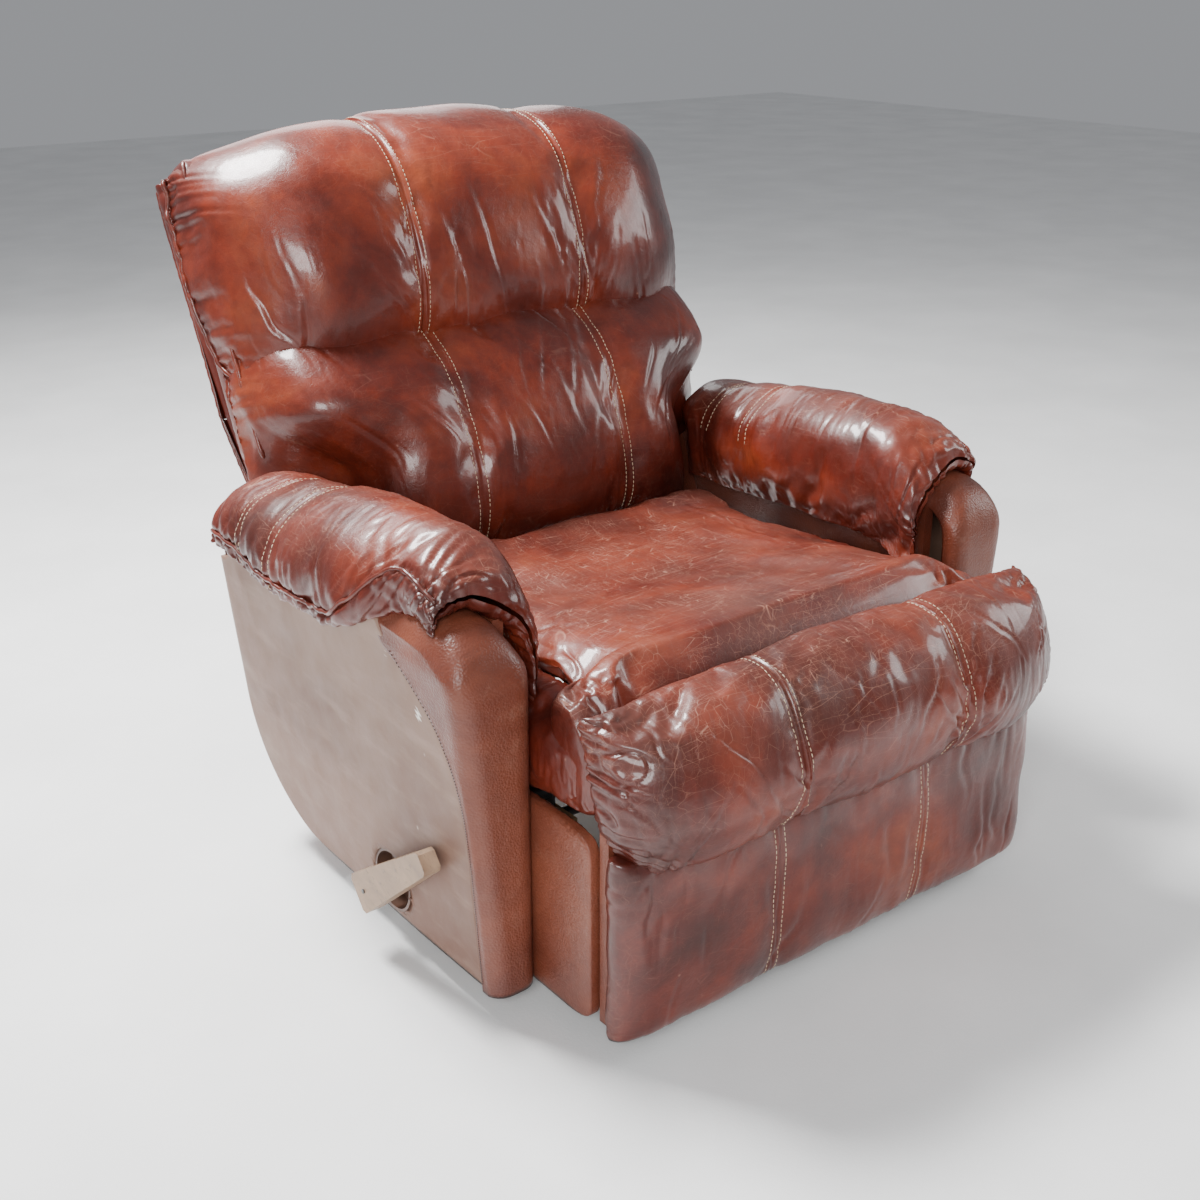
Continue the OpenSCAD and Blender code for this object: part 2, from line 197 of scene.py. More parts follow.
bm = bmesh.new()
bmesh.ops.create_grid(bm, x_segments=2, y_segments=2, size=9)
floor_mesh = bpy.data.meshes.new("floor")
bm.to_mesh(floor_mesh)
bm.free()
floor = bpy.data.objects.new("floor", floor_mesh)
scene.collection.objects.link(floor)
floor_mesh.materials.append(floor_finish())


# Headrest pillow: a thick bolster of antiqued red-brown leather over polyester fill, sewn from three
# panels with twin-needle seams. Its ends are gathered into a welt and it hangs over the top of the back.
BACK_PIVOT = (0.160, 0.300)
LEAN = math.radians(25)


def on_back(x, y, z):
    """Points of the back's own frame, with z up the back, in the chair's frame."""
    return np.stack([x, BACK_PIVOT[0] + y * math.cos(LEAN) + z * math.sin(LEAN),
                     BACK_PIVOT[1] - y * math.sin(LEAN) + z * math.cos(LEAN)], axis=1)


def ease(value, low, high):
    """Zero below low, one above high, smooth between them."""
    t = np.clip((value - low) / (high - low), 0, 1)
    return t * t * (3 - 2 * t)


def bulge(value, power):
    """The power of a number with its sign kept, which rounds or squares a section."""
    return np.sign(value) * np.abs(value) ** power


def waves(x, size, seed):
    """A smooth wandering value between about -1 and 1, with waves of about the given size."""
    rng = random.Random(seed)
    total = 0
    for _ in range(5):
        total = total + np.sin(2 * math.pi * (np.asarray(x) / (size * rng.uniform(0.6, 1.7)) + rng.random()))
    return total / 3.4


def swell(p, q, size_p, size_q, seed):
    """The same over a surface, from waves that run in many directions."""
    rng = random.Random(seed)
    total = 0
    for k in range(9):
        turn = math.pi * (k + rng.random()) / 9
        wave = rng.uniform(0.7, 1.5)
        along = p * math.cos(turn) / size_p + q * math.sin(turn) / size_q
        total = total + np.sin(2 * math.pi * along * wave + 2 * math.pi * rng.random())
    return total / 4.2


def new_piece(name, bm):
    mesh = bpy.data.meshes.new(name)
    bm.normal_update()
    bm.to_mesh(mesh)
    bm.free()
    piece = bpy.data.objects.new(name, mesh)
    scene.collection.objects.link(piece)
    mesh.polygons.foreach_set("use_smooth", np.ones(len(mesh.polygons), bool))
    return piece


def points(piece):
    co = np.empty(len(piece.data.vertices) * 3)
    piece.data.vertices.foreach_get("co", co)
    return co.reshape(-1, 3)


def normals(piece):
    out = np.empty(len(piece.data.vertices) * 3)
    piece.data.vertices.foreach_get("normal", out)
    return out.reshape(-1, 3)


def move_points(piece, co):
    piece.data.vertices.foreach_set("co", np.asarray(co, float).ravel())
    piece.data.update()


def push(piece, height):
    """Moves every point along its normal."""
    move_points(piece, points(piece) + normals(piece) * np.asarray(height)[:, None])


def keep(piece, name, values):
    """Keeps one number for each point on the mesh, where a finish or a later step can read it."""
    made = piece.data.attributes.get(name) or piece.data.attributes.new(name, "FLOAT", "POINT")
    blank = np.zeros(len(piece.data.vertices), np.float32)
    made.data.foreach_set("value", blank + np.asarray(values, np.float32))


def kept(piece, name):
    out = np.empty(len(piece.data.vertices), np.float32)
    piece.data.attributes[name].data.foreach_get("value", out)
    return out.astype(float)


def tidy_shell(piece):
    """Merges the closing line and the drawn-in ends, and turns every face outwards."""
    bm = bmesh.new()
    bm.from_mesh(piece.data)
    bmesh.ops.remove_doubles(bm, verts=bm.verts, dist=2e-5)
    bmesh.ops.dissolve_degenerate(bm, dist=1e-6, edges=bm.edges)
    bmesh.ops.recalc_face_normals(bm, faces=bm.faces)
    if bm.calc_volume(signed=True) < 0:
        bmesh.ops.reverse_faces(bm, faces=bm.faces)
    bm.to_mesh(piece.data)
    bm.free()
    piece.data.polygons.foreach_set("use_smooth", np.ones(len(piece.data.polygons), bool))


def loft(name, columns, ring, place, crowd=()):
    """A stuffed form: a ring of points carried along the piece and drawn together at both ends.
    Along runs from -1 to 1 and the turn goes once around the section."""
    bm = bmesh.new()
    bmesh.ops.create_grid(bm, x_segments=columns, y_segments=ring, size=1)
    piece = new_piece(name, bm)
    grid = points(piece)
    u = 0.15 * grid[:, 0] + 0.85 * np.sin(grid[:, 0] * math.pi / 2)
    for c in crowd:
        u = u - 0.55 * (u - c) * np.exp(-((u - c) / 0.12) ** 2)
    turn = (grid[:, 1] + 1) * math.pi
    keep(piece, "along", u)
    keep(piece, "turn_cos", np.cos(turn))
    keep(piece, "turn_sin", np.sin(turn))
    move_points(piece, place(u, turn))
    tidy_shell(piece)
    return piece


COVER_SLACK = 0.03
COVER_FRAMES = 18
NEEDLE_ROW = 0.0075
STITCH_PITCH = 0.0068


def inflate(piece, held, pressure=4.0, cap=0.022):
    """Swells a stuffed cover like cloth under pressure. The held points are sewn down and stay."""
    before = points(piece)
    group = piece.vertex_groups.new(name="held")
    group.add([int(i) for i in np.flatnonzero(held)], 1.0, "REPLACE")
    cloth = piece.modifiers.new("cover", "CLOTH")
    s = cloth.settings
    s.quality, s.mass, s.air_damping = 4, 0.3, 2.0
    s.tension_stiffness = s.compression_stiffness = s.shear_stiffness = 18
    s.bending_stiffness = 1.2
    s.use_pressure, s.uniform_pressure_force = True, pressure
    s.effector_weights.gravity = 0
    s.vertex_group_mass = "held"
    s.shrink_min = -COVER_SLACK
    cloth.point_cache.frame_start, cloth.point_cache.frame_end = 1, COVER_FRAMES
    for step in range(1, COVER_FRAMES + 1):
        scene.frame_set(step)
    seen = piece.evaluated_get(bpy.context.evaluated_depsgraph_get())
    after = np.empty(len(before) * 3)
    seen.data.vertices.foreach_get("co", after)
    moved = after.reshape(-1, 3) - before
    length = np.linalg.norm(moved, axis=1, keepdims=True) + 1e-9
    piece.modifiers.remove(cloth)
    piece.vertex_groups.remove(group)
    scene.frame_set(1)
    move_points(piece, before + moved * np.minimum(1, cap / length))


def subdivide(piece):
    """Rounds the mesh with real subdivision, so that relief can be worked into it."""
    finer = piece.modifiers.new("finer", "SUBSURF")
    finer.levels = finer.render_levels = 1
    seen = piece.evaluated_get(bpy.context.evaluated_depsgraph_get())
    mesh = bpy.data.meshes.new_from_object(seen)
    piece.modifiers.remove(finer)
    old = piece.data
    piece.data = mesh
    bpy.data.meshes.remove(old)
    mesh.name = piece.name


def sewn_seam(piece, distance, mask=1.0):
    """A twin-needle seam: a raised band, a groove down its middle and one under each row of thread."""
    band = 0.0016 * (1 - ease(np.abs(distance), NEEDLE_ROW, NEEDLE_ROW + 0.004))
    pull = 0.0045 * np.exp(-(distance / 0.024) ** 2)
    rows = 0.0013 * np.exp(-((np.abs(distance) - NEEDLE_ROW) / 0.0016) ** 2)
    middle = 0.0016 * np.exp(-(distance / 0.0014) ** 2)
    push(piece, (band - pull - rows - middle) * mask)


def pleats(piece, line, away, deep, spacing, reach, seed, slant=0.0):
    """Gathers that run from a seam: line is the distance along it, away the distance from it."""
    s = line - slant * away
    phase = s / spacing + 0.5 * waves(s, spacing * 4, seed)
    long = reach * np.clip(0.6 + 0.45 * waves(s, spacing * 2.6, seed + 1), 0.15, 1.4)
    size = deep * np.clip(0.65 + 0.5 * waves(s, spacing * 3.3, seed + 2), 0.1, 1.3)
    fade = np.exp(-(np.maximum(away, 0) / long) ** 1.5)
    push(piece, size * (np.abs(np.sin(math.pi * phase)) - 0.62) * fade)


def crumple(piece, p, q, deep, size_p, size_q, seed, where=1.0, sharp=0.13):
    """Creases that wander over a cover: sharp valleys where a swell passes zero, with soft lips."""
    field = swell(p, q, size_p, size_q, seed)
    patch = np.clip(0.55 + 0.6 * swell(p, q, size_p * 1.7, size_q * 1.7, seed + 7), 0, 1.2) * where
    valley = np.exp(-(field / sharp) ** 2) - 0.45 * np.exp(-((field - 2.6 * sharp) / (1.5 * sharp)) ** 2)
    push(piece, -deep * valley * patch)


def fold_lines(piece, strokes):
    """Works single folds into a cover. Each is a line of points with a depth and a width."""
    tree = BVHTree.FromObject(piece, bpy.context.evaluated_depsgraph_get())
    co, out = points(piece), normals(piece)
    move = np.zeros(len(co))
    for line, depth, width in strokes:
        line = np.array([tree.find_nearest(Vector(p))[0] for p in line])
        reach = 5 * width
        near = np.flatnonzero(((co > line.min(0) - reach) & (co < line.max(0) + reach)).all(1))
        if not len(near):
            continue
        a, step = line[:-1], line[1:] - line[:-1]
        rel = co[near][:, None, :] - a[None]
        along = np.clip((rel * step).sum(2) / ((step * step).sum(1) + 1e-12), 0, 1)
        gap = np.linalg.norm(rel - along[..., None] * step, axis=2)
        closest = gap.argmin(1)
        row = np.arange(len(near))
        side = np.sign((np.cross(step[closest], rel[row, closest]) * out[near]).sum(1))
        d = gap[row, closest] * side
        t = (closest + along[row, closest]) / len(a)
        size = depth * np.sin(math.pi * np.clip(t, 0.0, 1.0)) ** 1.3
        narrow = width * (0.45 + 0.55 * np.sin(math.pi * np.clip(t, 0.0, 1.0)))
        move[near] += size * (0.55 * np.exp(-((d - 1.8 * narrow) / (1.2 * narrow)) ** 2)
                              - np.exp(-(d / (0.7 * narrow)) ** 2))
    move_points(piece, co + out * np.clip(move, -0.011, 0.006)[:, None])


def fold(place, start, end, bend, depth, width, power):
    """One fold on a loft, from (along, height) to (along, height) on its front or other side."""
    w = np.linspace(0, 1, 13)
    swing = np.sin(w * math.pi) * bend + 0.12 * bend * np.sin(w * 17)
    du, dv = end[0] - start[0], end[1] - start[1]
    u = start[0] + w * du + 0.3 * swing * dv
    v = np.clip(start[1] + w * dv - swing * du, -0.999, 0.999)
    return place(u, math.pi - np.arcsin(bulge(v, power / 2))), depth, width


def scattered(rng, place, count, u_range, v_range, reach, angle, depth, width, power=2.6):
    """Folds scattered over part of a loft. Reach, depth and width are ranges, angle is in degrees."""
    made = []
    for _ in range(count):
        u, v = rng.uniform(*u_range), rng.uniform(*v_range)
        size, turn = rng.uniform(*reach), math.radians(rng.uniform(*angle))
        du, dv = 0.5 * size * math.cos(turn), 0.5 * size * math.sin(turn)
        made.append(fold(place, (u - du, v - dv), (u + du, v + dv), rng.uniform(-0.25, 0.25),
                         rng.uniform(*depth), rng.uniform(*width), power))
    return made


def stuffing(piece, size, deep, seed):
    """Broad unevenness of the fill."""
    co = points(piece)
    push(piece, deep * swell(co[:, 0] + 0.3 * co[:, 1], co[:, 2] - 0.6 * co[:, 1], size, size, seed))


def twin_rows(seam):
    """The planes of the thread rows, one on each side of the left and the right seam."""
    return [((s + d, 0, 0), (1, 0, 0)) for s in (-seam, seam) for d in (-NEEDLE_ROW, NEEDLE_ROW)]


def thread_rows(name, piece, cuts, wanted, body):
    """Rows of thread on a cover, where planes cut it. Each stitch is a short bead sunk in the leather."""
    tree = BVHTree.FromObject(piece, bpy.context.evaluated_depsgraph_get())
    bm = bmesh.new()
    for at, normal in cuts:
        at, normal = Vector(at), Vector(normal).normalized()
        cut = bmesh.new()
        cut.from_mesh(piece.data)
        found = bmesh.ops.bisect_plane(cut, geom=cut.verts[:] + cut.edges[:] + cut.faces[:], dist=1e-6,
                                       plane_co=at, plane_no=normal)
        line_edges = [e for e in found["geom_cut"] if isinstance(e, bmesh.types.BMEdge)]
        for chain in chains(line_edges):
            stitch_along(bm, chain, tree, wanted, STITCH_PITCH)
        cut.free()
    made = new_piece(name, bm)
    made.data.materials.append(thread_finish)
    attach(made, body)
    return made


def chains(edges):
    """Puts loose edges into runs of points."""
    links = {}
    for e in edges:
        a, b = e.verts
        links.setdefault(a, []).append(b)
        links.setdefault(b, []).append(a)
    left = set(links)
    runs = []
    while left:
        ends = [v for v in left if len(links[v]) == 1]
        start = min(ends or left, key=lambda v: tuple(v.co))
        run, here = [start], start
        left.discard(start)
        while True:
            ahead = [v for v in links[here] if v in left]
            if not ahead:
                break
            here = min(ahead, key=lambda v: tuple(v.co)) if len(run) == 1 else ahead[0]
            left.discard(here)
            run.append(here)
        if not ends and len(run) > 2:
            run.append(start)
        runs.append([v.co.copy() for v in run])
    return runs


def stitch_along(bm, run, tree, wanted, pitch):
    travelled, target = 0.0, pitch / 2
    for a, b in zip(run, run[1:]):
        step = (b - a).length
        while step > 0 and travelled + step > target:
            at = a.lerp(b, (target - travelled) / step)
            target += pitch
            if not wanted(at):
                continue
            out = tree.find_nearest(at)[1]
            ahead = (b - a).normalized()
            bead(bm, at + out * 0.0001, ahead, out, 0.0026, 0.00068)
        travelled += step


def bead(bm, at, ahead, out, half, radius):
    """One stitch: a six-sided spindle that lies along the seam."""
    across = ahead.cross(out).normalized()
    up = across.cross(ahead).normalized()
    rings = []
    for t, r in ((-1, 0.25), (-0.55, 1), (0.55, 1), (1, 0.25)):
        rings.append([bm.verts.new(at + ahead * half * t + up * (radius * r * math.sin(a) - 0.0003 * abs(t))
                                   + across * radius * r * math.cos(a))
                      for a in (0, math.pi / 3, 2 * math.pi / 3, math.pi, 4 * math.pi / 3, 5 * math.pi / 3)])
    for low, high in zip(rings, rings[1:]):
        for k in range(6):
            bm.faces.new((low[k], low[(k + 1) % 6], high[(k + 1) % 6], high[k]))
    bm.faces.new(rings[0][::-1])
    bm.faces.new(rings[-1])


def welt(name, path, radius, body, finish, on=None):
    """A piped edge: a cord wrapped in leather, sewn along a line of points, a little uneven."""
    path = np.asarray(path, float)
    if on:
        tree = BVHTree.FromObject(on, bpy.context.evaluated_depsgraph_get())
        hits = [tree.find_nearest(Vector(p)) for p in path]
        path = np.array([hit[0] + 0.4 * radius * hit[1] for hit in hits])
    for _ in range(3):
        path[1:-1] = 0.5 * path[1:-1] + 0.25 * (path[:-2] + path[2:])
    bm = bmesh.new()
    bmesh.ops.create_grid(bm, x_segments=len(path) - 1, y_segments=10, size=1)
    made = new_piece(name, bm)
    grid = points(made)
    k = np.rint((grid[:, 0] + 1) / 2 * (len(path) - 1)).astype(int)
    turn = (grid[:, 1] + 1) * math.pi
    ahead = np.gradient(path, axis=0)
    ahead /= np.linalg.norm(ahead, axis=1, keepdims=True)
    helper = np.where(np.abs(ahead[:, :1]) > 0.9, [[0.0, 0.0, 1.0]], [[1.0, 0.0, 0.0]])
    side = np.cross(ahead, helper)
    side /= np.linalg.norm(side, axis=1, keepdims=True)
    up = np.cross(side, ahead)
    run = np.concatenate([[0], np.cumsum(np.linalg.norm(np.diff(path, axis=0), axis=1))])
    size = radius * (1 + 0.16 * waves(run, 0.02, len(name)) - 0.10 * np.abs(np.sin(run * math.pi / 0.012)))
    size[0] = size[-1] = 0.0
    around = side[k] * np.cos(turn)[:, None] + up[k] * np.sin(turn)[:, None]
    move_points(made, path[k] + size[k][:, None] * around)
    tidy_shell(made)
    made.data.materials.append(finish)
    keep(made, "wear", 0.35)
    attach(made, body)
    return made


def antiqued_leather(name, tint=(1, 1, 1), gloss=0.0):
    """Glossy red-brown leather: dark and orange clouds, fine pale cracks and scratches on used areas, a
    lighter rosy tint on the tops that is partly wear and partly painted sheen, and a painted shadow band
    along the very bottom.
    """
    f = Finish(name, Coat_Weight=0.34, Coat_Roughness=0.13, Specular_IOR_Level=0.38)
    wear = f.wear_and_sheen_mask()
    clouds = f.noise(5.5, 6, 0.6, distortion=0.4)
    shade = f.node("ShaderNodeValToRGB", {"stops": [
        (0.30, tuple(c * t for c, t in zip((0.026, 0.0042, 0.0030), tint))),
        (0.47, tuple(c * t for c, t in zip((0.085, 0.0098, 0.0046), tint))),
        (0.58, tuple(c * t for c, t in zip((0.150, 0.0200, 0.0078), tint))),
        (0.76, tuple(c * t for c, t in zip((0.240, 0.0480, 0.0165), tint)))]}, {0: clouds})
    dapple = f.between(f.noise(42, 5, 0.65), 0.35, 0.72)
    shade = f.mix(dapple * 0.38, shade, tuple(c * t for c, t in zip((0.055, 0.013, 0.009), tint)))
    drift = f.node("ShaderNodeTexNoise", {}, {"Vector": f.place, "Scale": 26, "Detail": 4}, "Color")
    drift = f.node("ShaderNodeVectorMath", {"operation": "SCALE"}, {0: drift, "Scale": 0.03})
    warped = f.node("ShaderNodeVectorMath", {"operation": "ADD"}, {0: f.place, 1: drift})
    fine_cracks = (f.between(f.cells(105, at=warped), 0.0, 0.045, 1, 0)
                   * f.between(f.noise(13, 4), 0.42, 0.66))
    scratches = 0
    for stretch, turn in (((7, 62, 50), (0.3, 0.2, 0.35)), ((58, 8, 44), (0.1, 0.5, -0.4)),
                          ((12, 110, 90), (0.7, 0.1, 0.95)), ((90, 14, 80), (0.2, 0.9, 0.25))):
        lines = f.between(f.cells(1.0, at=f.stretched(stretch, turn)), 0, 0.014, 1, 0)
        scratches = scratches + lines * f.between(f.noise(stretch[0] * 0.4 + 9, 3), 0.46, 0.62)
    scuffs = (fine_cracks * 0.22 + scratches * 0.55) * wear
    # Lighter rosy tint on the tops: partly real wear, partly a painted reflection of the sky in the gloss.
    shade = f.mix(f.between(wear * f.between(f.noise(9, 5, 0.6), 0.3, 0.75), 0.05, 1.0, 0, 0.34),
                  shade, (0.235, 0.075, 0.048))
    shade = f.mix(f.between(scuffs, 0, 1, 0, 0.8), shade, (0.47, 0.235, 0.165))
    # Painted shadow: a black band along the very bottom edge, where the thin shadow line under the chair
    # falls.
    painted_shadow_band = f.between(f.node("ShaderNodeSeparateXYZ", {}, {0: f.place}, 2), 0.0365, 0.0395, 1, 0)
    nicks = f.between(f.cells(17, "F1"), 0.0, 0.045, 1, 0) * f.between(f.noise(60, 3), 0.52, 0.6)
    shade = f.mix(nicks * 0.6, shade, (0.50, 0.27, 0.19))
    shade = f.mix(painted_shadow_band, shade, (0.010, 0.009, 0.009))
    rough = f.between(f.noise(38, 5), 0.3, 0.7, 0.27 + gloss, 0.40 + gloss) + wear * 0.10 + scuffs * 0.12
    grain = f.cells(620, "F1")
    pores = f.relief(grain, 0.10, 0.0006)
    creases = f.relief(f.noise(95, 7, 0.62, distortion=0.6), 0.26, 0.0022, pores)
    lines = f.relief(1 - scuffs, 0.20, 0.0009, creases)
    return f.apply(Base_Color=shade, Roughness=rough, Normal=lines)


def thread_colour(name, dark, light):
    f = Finish(name, Roughness=0.7)
    tint = f.node("ShaderNodeValToRGB", {"stops": [(0.3, dark), (0.7, light)]},
                  {0: f.noise(90, 2)})
    return f.apply(Base_Color=tint, Normal=f.relief(f.noise(2600, 2), 0.4, 0.0003))


thread_finish = thread_colour("thread_finish", (0.36, 0.25, 0.16), (0.56, 0.43, 0.30))
dark_thread = thread_colour("dark_thread", (0.020, 0.010, 0.008), (0.05, 0.022, 0.016))
pillow_leather = antiqued_leather("pillow_leather")
HEAD_SEAM = 0.137


def headrest_place(u, turn):
    v, t = bulge(np.sin(turn), 2 / 2.25), bulge(np.cos(turn), 2 / 2.25)
    top = 0.730 - 0.050 * np.abs(u) ** 2.2
    bottom = 0.362 - 0.020 * np.abs(u) ** 3
    z = 0.580 + v * np.where(v > 0, top - 0.580, 0.580 - bottom)
    width = 0.405 - 0.008 * ease(v, 0.3, 1.0) - 0.018 * ease(-v, 0.1, 1.0)
    closed = np.sqrt(np.maximum(0, 1 - np.abs(u) ** 5.0))
    wrap = 0.032 * ease(np.abs(u), 0.66, 0.995)
    front = 0.142 - 0.010 * ease(v, 0.2, 1.0) + 0.006 * ease(-v, 0.0, 0.7)
    rear = 0.004 + 0.092 * ease(z, 0.682, 0.700)
    return on_back(u * width, -0.004 + wrap + t * closed * np.where(t < 0, front, rear), z)


headrest = loft("headrest", 136, 112, headrest_place, crowd=(-HEAD_SEAM / 0.398, HEAD_SEAM / 0.398))
co = points(headrest)
from_seam = np.minimum(np.abs(co[:, 0] - HEAD_SEAM), np.abs(co[:, 0] + HEAD_SEAM))
inflate(headrest, (from_seam < 0.004) | (np.abs(kept(headrest, "along")) > 0.998), cap=0.022)
subdivide(headrest)
stuffing(headrest, 0.16, 0.0022, 3)
rng = random.Random(11)
strokes = []
for seam in (-HEAD_SEAM / 0.398, HEAD_SEAM / 0.398):
    for side in (-1, 1):
        strokes += scattered(rng, headrest_place, 5, (seam + 0.04 * side, seam + 0.14 * side), (-0.75, 0.05),
                             (0.5, 1.0), (90 - 14 * side - 8, 90 - 14 * side + 8),
                             (0.0010, 0.0024), (0.003, 0.006))
strokes += scattered(rng, headrest_place, 9, (-0.85, 0.85), (-0.95, -0.55), (0.3, 0.8), (78, 104),
                     (0.0015, 0.0035), (0.003, 0.007))
strokes += scattered(rng, headrest_place, 5, (-0.30, 0.32), (-0.75, -0.35), (0.7, 1.2), (84, 98),
                     (0.0022, 0.0036), (0.004, 0.007))
fold_lines(headrest, strokes)


def back_height(co):
    return (co[:, 1] - BACK_PIVOT[0]) * math.sin(LEAN) + (co[:, 2] - BACK_PIVOT[1]) * math.cos(LEAN)


co = points(headrest)
height = back_height(co)
for side in (-1, 1):
    from_end = 0.410 - 0.018 * ease(-height, -0.55, -0.38) - side * co[:, 0]
    pleats(headrest, height, from_end, 0.0048, 0.016, 0.042, 30 + side, slant=-0.55)
below = np.sin(np.arctan2(kept(headrest, "turn_sin"), kept(headrest, "turn_cos")))
pleats(headrest, co[:, 0], 0.10 * (1 + below), 0.0030, 0.021, 0.026, 41)
low_down = 0.12 + 0.88 * ease(-height, -0.60, -0.48)
crumple(headrest, co[:, 0], height, 0.0012, 0.045, 0.13, 17, low_down, sharp=0.09)
for seam in (-HEAD_SEAM, HEAD_SEAM):
    sewn_seam(headrest, points(headrest)[:, 0] - seam)
headrest.data.materials.append(pillow_leather)
# Upward-facing parts get more wear and more painted sheen.
keep(headrest, "wear", 0.06 + 0.34 * ease(normals(headrest)[:, 2], 0.25, 0.95))
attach(headrest, "backrest")
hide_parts("headrest_pillow")


def before_back(p):
    """True for points on the sitter's side of the back."""
    return (p.y - BACK_PIVOT[0]) * math.cos(LEAN) - (p.z - BACK_PIVOT[1]) * math.sin(LEAN) < 0.03


thread_rows("headrest_thread", headrest, twin_rows(HEAD_SEAM),
            before_back, "backrest")
for side, hand in ((-1, "left"), (1, "right")):
    z = np.linspace(0.375, 0.700, 90)
    edge = on_back(side * (0.409 - 0.012 * ease(z, 0.69, 0.73) - 0.018 * ease(-z, -0.55, -0.38)),
                   0.032 - 0.03 * ease(-z, -0.44, -0.37) + 0.0018 * waves(z, 0.05, 5), z)
    welt("headrest_welt_" + hand, edge, 0.0036, "backrest", pillow_leather, on=headrest)


# Lumbar pillow: the lower half of the back, the same leather in three panels. It is narrow between the
# arm pillows and widens over them, and its top edge is tucked under the headrest.
LUMBAR_SEAM = 0.130


def lumbar_place(u, turn):
    v, t = bulge(np.sin(turn), 2 / 2.6), bulge(np.cos(turn), 2 / 2.6)
    z = 0.262 + v * 0.192
    closed = np.sqrt(np.maximum(0, 1 - np.abs(u) ** 6))
    front = 0.134 - 0.034 * ease(v, 0.2, 1.0)
    depth = -0.006 + t * closed * np.where(t < 0, front, 0.004)
    reach = BACK_PIVOT[0] + depth * math.cos(LEAN) + z * math.sin(LEAN)
    above_arms = ease(z, 0.222, 0.330)
    behind_arms = ease(reach, 0.212, 0.245) * ease(z, 0.15, 0.20)
    width = 0.286 + 0.108 * np.maximum(above_arms, behind_arms)
    width = width - 0.016 * ease(z, 0.36, 0.45)
    return on_back(u * width, depth + 0.030 * ease(np.abs(u * width), 0.330, 0.392), z)


lumbar = loft("lumbar_pillow", 128, 104, lumbar_place, crowd=(-0.36, 0.36))
co = points(lumbar)
from_seam = np.minimum(np.abs(co[:, 0] - LUMBAR_SEAM), np.abs(co[:, 0] + LUMBAR_SEAM))
inflate(lumbar, (from_seam < 0.004) | (np.abs(kept(lumbar, "along")) > 0.998), cap=0.016)
subdivide(lumbar)
stuffing(lumbar, 0.15, 0.0024, 9)
rng = random.Random(23)
strokes = scattered(rng, lumbar_place, 11, (-0.33, 0.33), (-0.4, 0.7), (0.5, 1.3), (74, 110),
                    (0.0014, 0.0032), (0.0026, 0.0052))
for side in (-1, 1):
    strokes += scattered(rng, lumbar_place, 7, (0.42 * side, 0.9 * side), (-0.3, 0.9), (0.3, 0.9),
                         (90 - 35 * side, 90 + 5 * side), (0.0010, 0.0024), (0.003, 0.0055))
fold_lines(lumbar, strokes)
co = points(lumbar)
height = back_height(co)
pleats(lumbar, co[:, 0], 0.452 - height, 0.0036, 0.024, 0.045, 52)
for side in (-1, 1):
    pleats(lumbar, height, 0.392 - side * co[:, 0], 0.0034, 0.015, 0.035, 60 + side, slant=-0.4)
crumple(lumbar, co[:, 0], height, 0.0014, 0.036, 0.15, 27, 0.6, sharp=0.09)
for seam in (-LUMBAR_SEAM, LUMBAR_SEAM):
    sewn_seam(lumbar, points(lumbar)[:, 0] - seam)
lumbar.data.materials.append(pillow_leather)
keep(lumbar, "wear", 0.16)
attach(lumbar, "backrest")
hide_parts("back_pillow")
thread_rows("lumbar_thread", lumbar, twin_rows(LUMBAR_SEAM),
            lambda p: before_back(p) and p.z > 0.42, "backrest")


# Outside back and wings: one lightly padded leather cover across the rear, and a smooth leather side on
# each upright. A welt runs down each wing's front edge and along the rear corners.
back_leather = antiqued_leather("back_leather", (0.92, 0.86, 0.88), 0.06)


def rear_place(u, turn):
    v, t = bulge(np.sin(turn), 2 / 12), bulge(np.cos(turn), 2 / 12)
    z = 0.356 + v * 0.334
    width = 0.350 + 0.036 * ease(z, 0.160, 0.185)
    closed = np.sqrt(np.maximum(0, 1 - np.abs(u) ** 24))
    crown = 0.008 * (1 - u ** 2) * (1 - v ** 2)
    return on_back(u * width, 0.084 + closed * (0.0232 * t + np.where(t > 0, crown, 0)), z)


rear_cover = loft("rear_cover", 90, 96, rear_place)
subdivide(rear_cover)
stuffing(rear_cover, 0.22, 0.0018, 19)
co = points(rear_cover)
height = back_height(co)
pleats(rear_cover, co[:, 0], 0.69 - height, 0.0022, 0.032, 0.05, 72)
for side in (-1, 1):
    pleats(rear_cover, height, 0.386 - side * co[:, 0], 0.0014, 0.034, 0.035, 75 + side)
crumple(rear_cover, co[:, 0], height, 0.0010, 0.09, 0.16, 29, 0.5)
rear_cover.data.materials.append(back_leather)
keep(rear_cover, "wear", 0.08)
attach(rear_cover, "backrest")
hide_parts("back_outer_cover")


WING_LOW, WING_HIGH = 0.264, 0.700


def wing_place(side):
    def place(u, turn):
        v, t = bulge(np.sin(turn), 2 / 6), bulge(np.cos(turn), 2 / 6)
        closed = np.sqrt(np.maximum(0, 1 - np.abs(u) ** 16))
        z = (WING_LOW + WING_HIGH) / 2 + u * (WING_HIGH - WING_LOW) / 2
        return on_back(side * (0.3645 + 0.0220 * t * closed), 0.0200 + v * 0.0405 * closed, z)
    return place


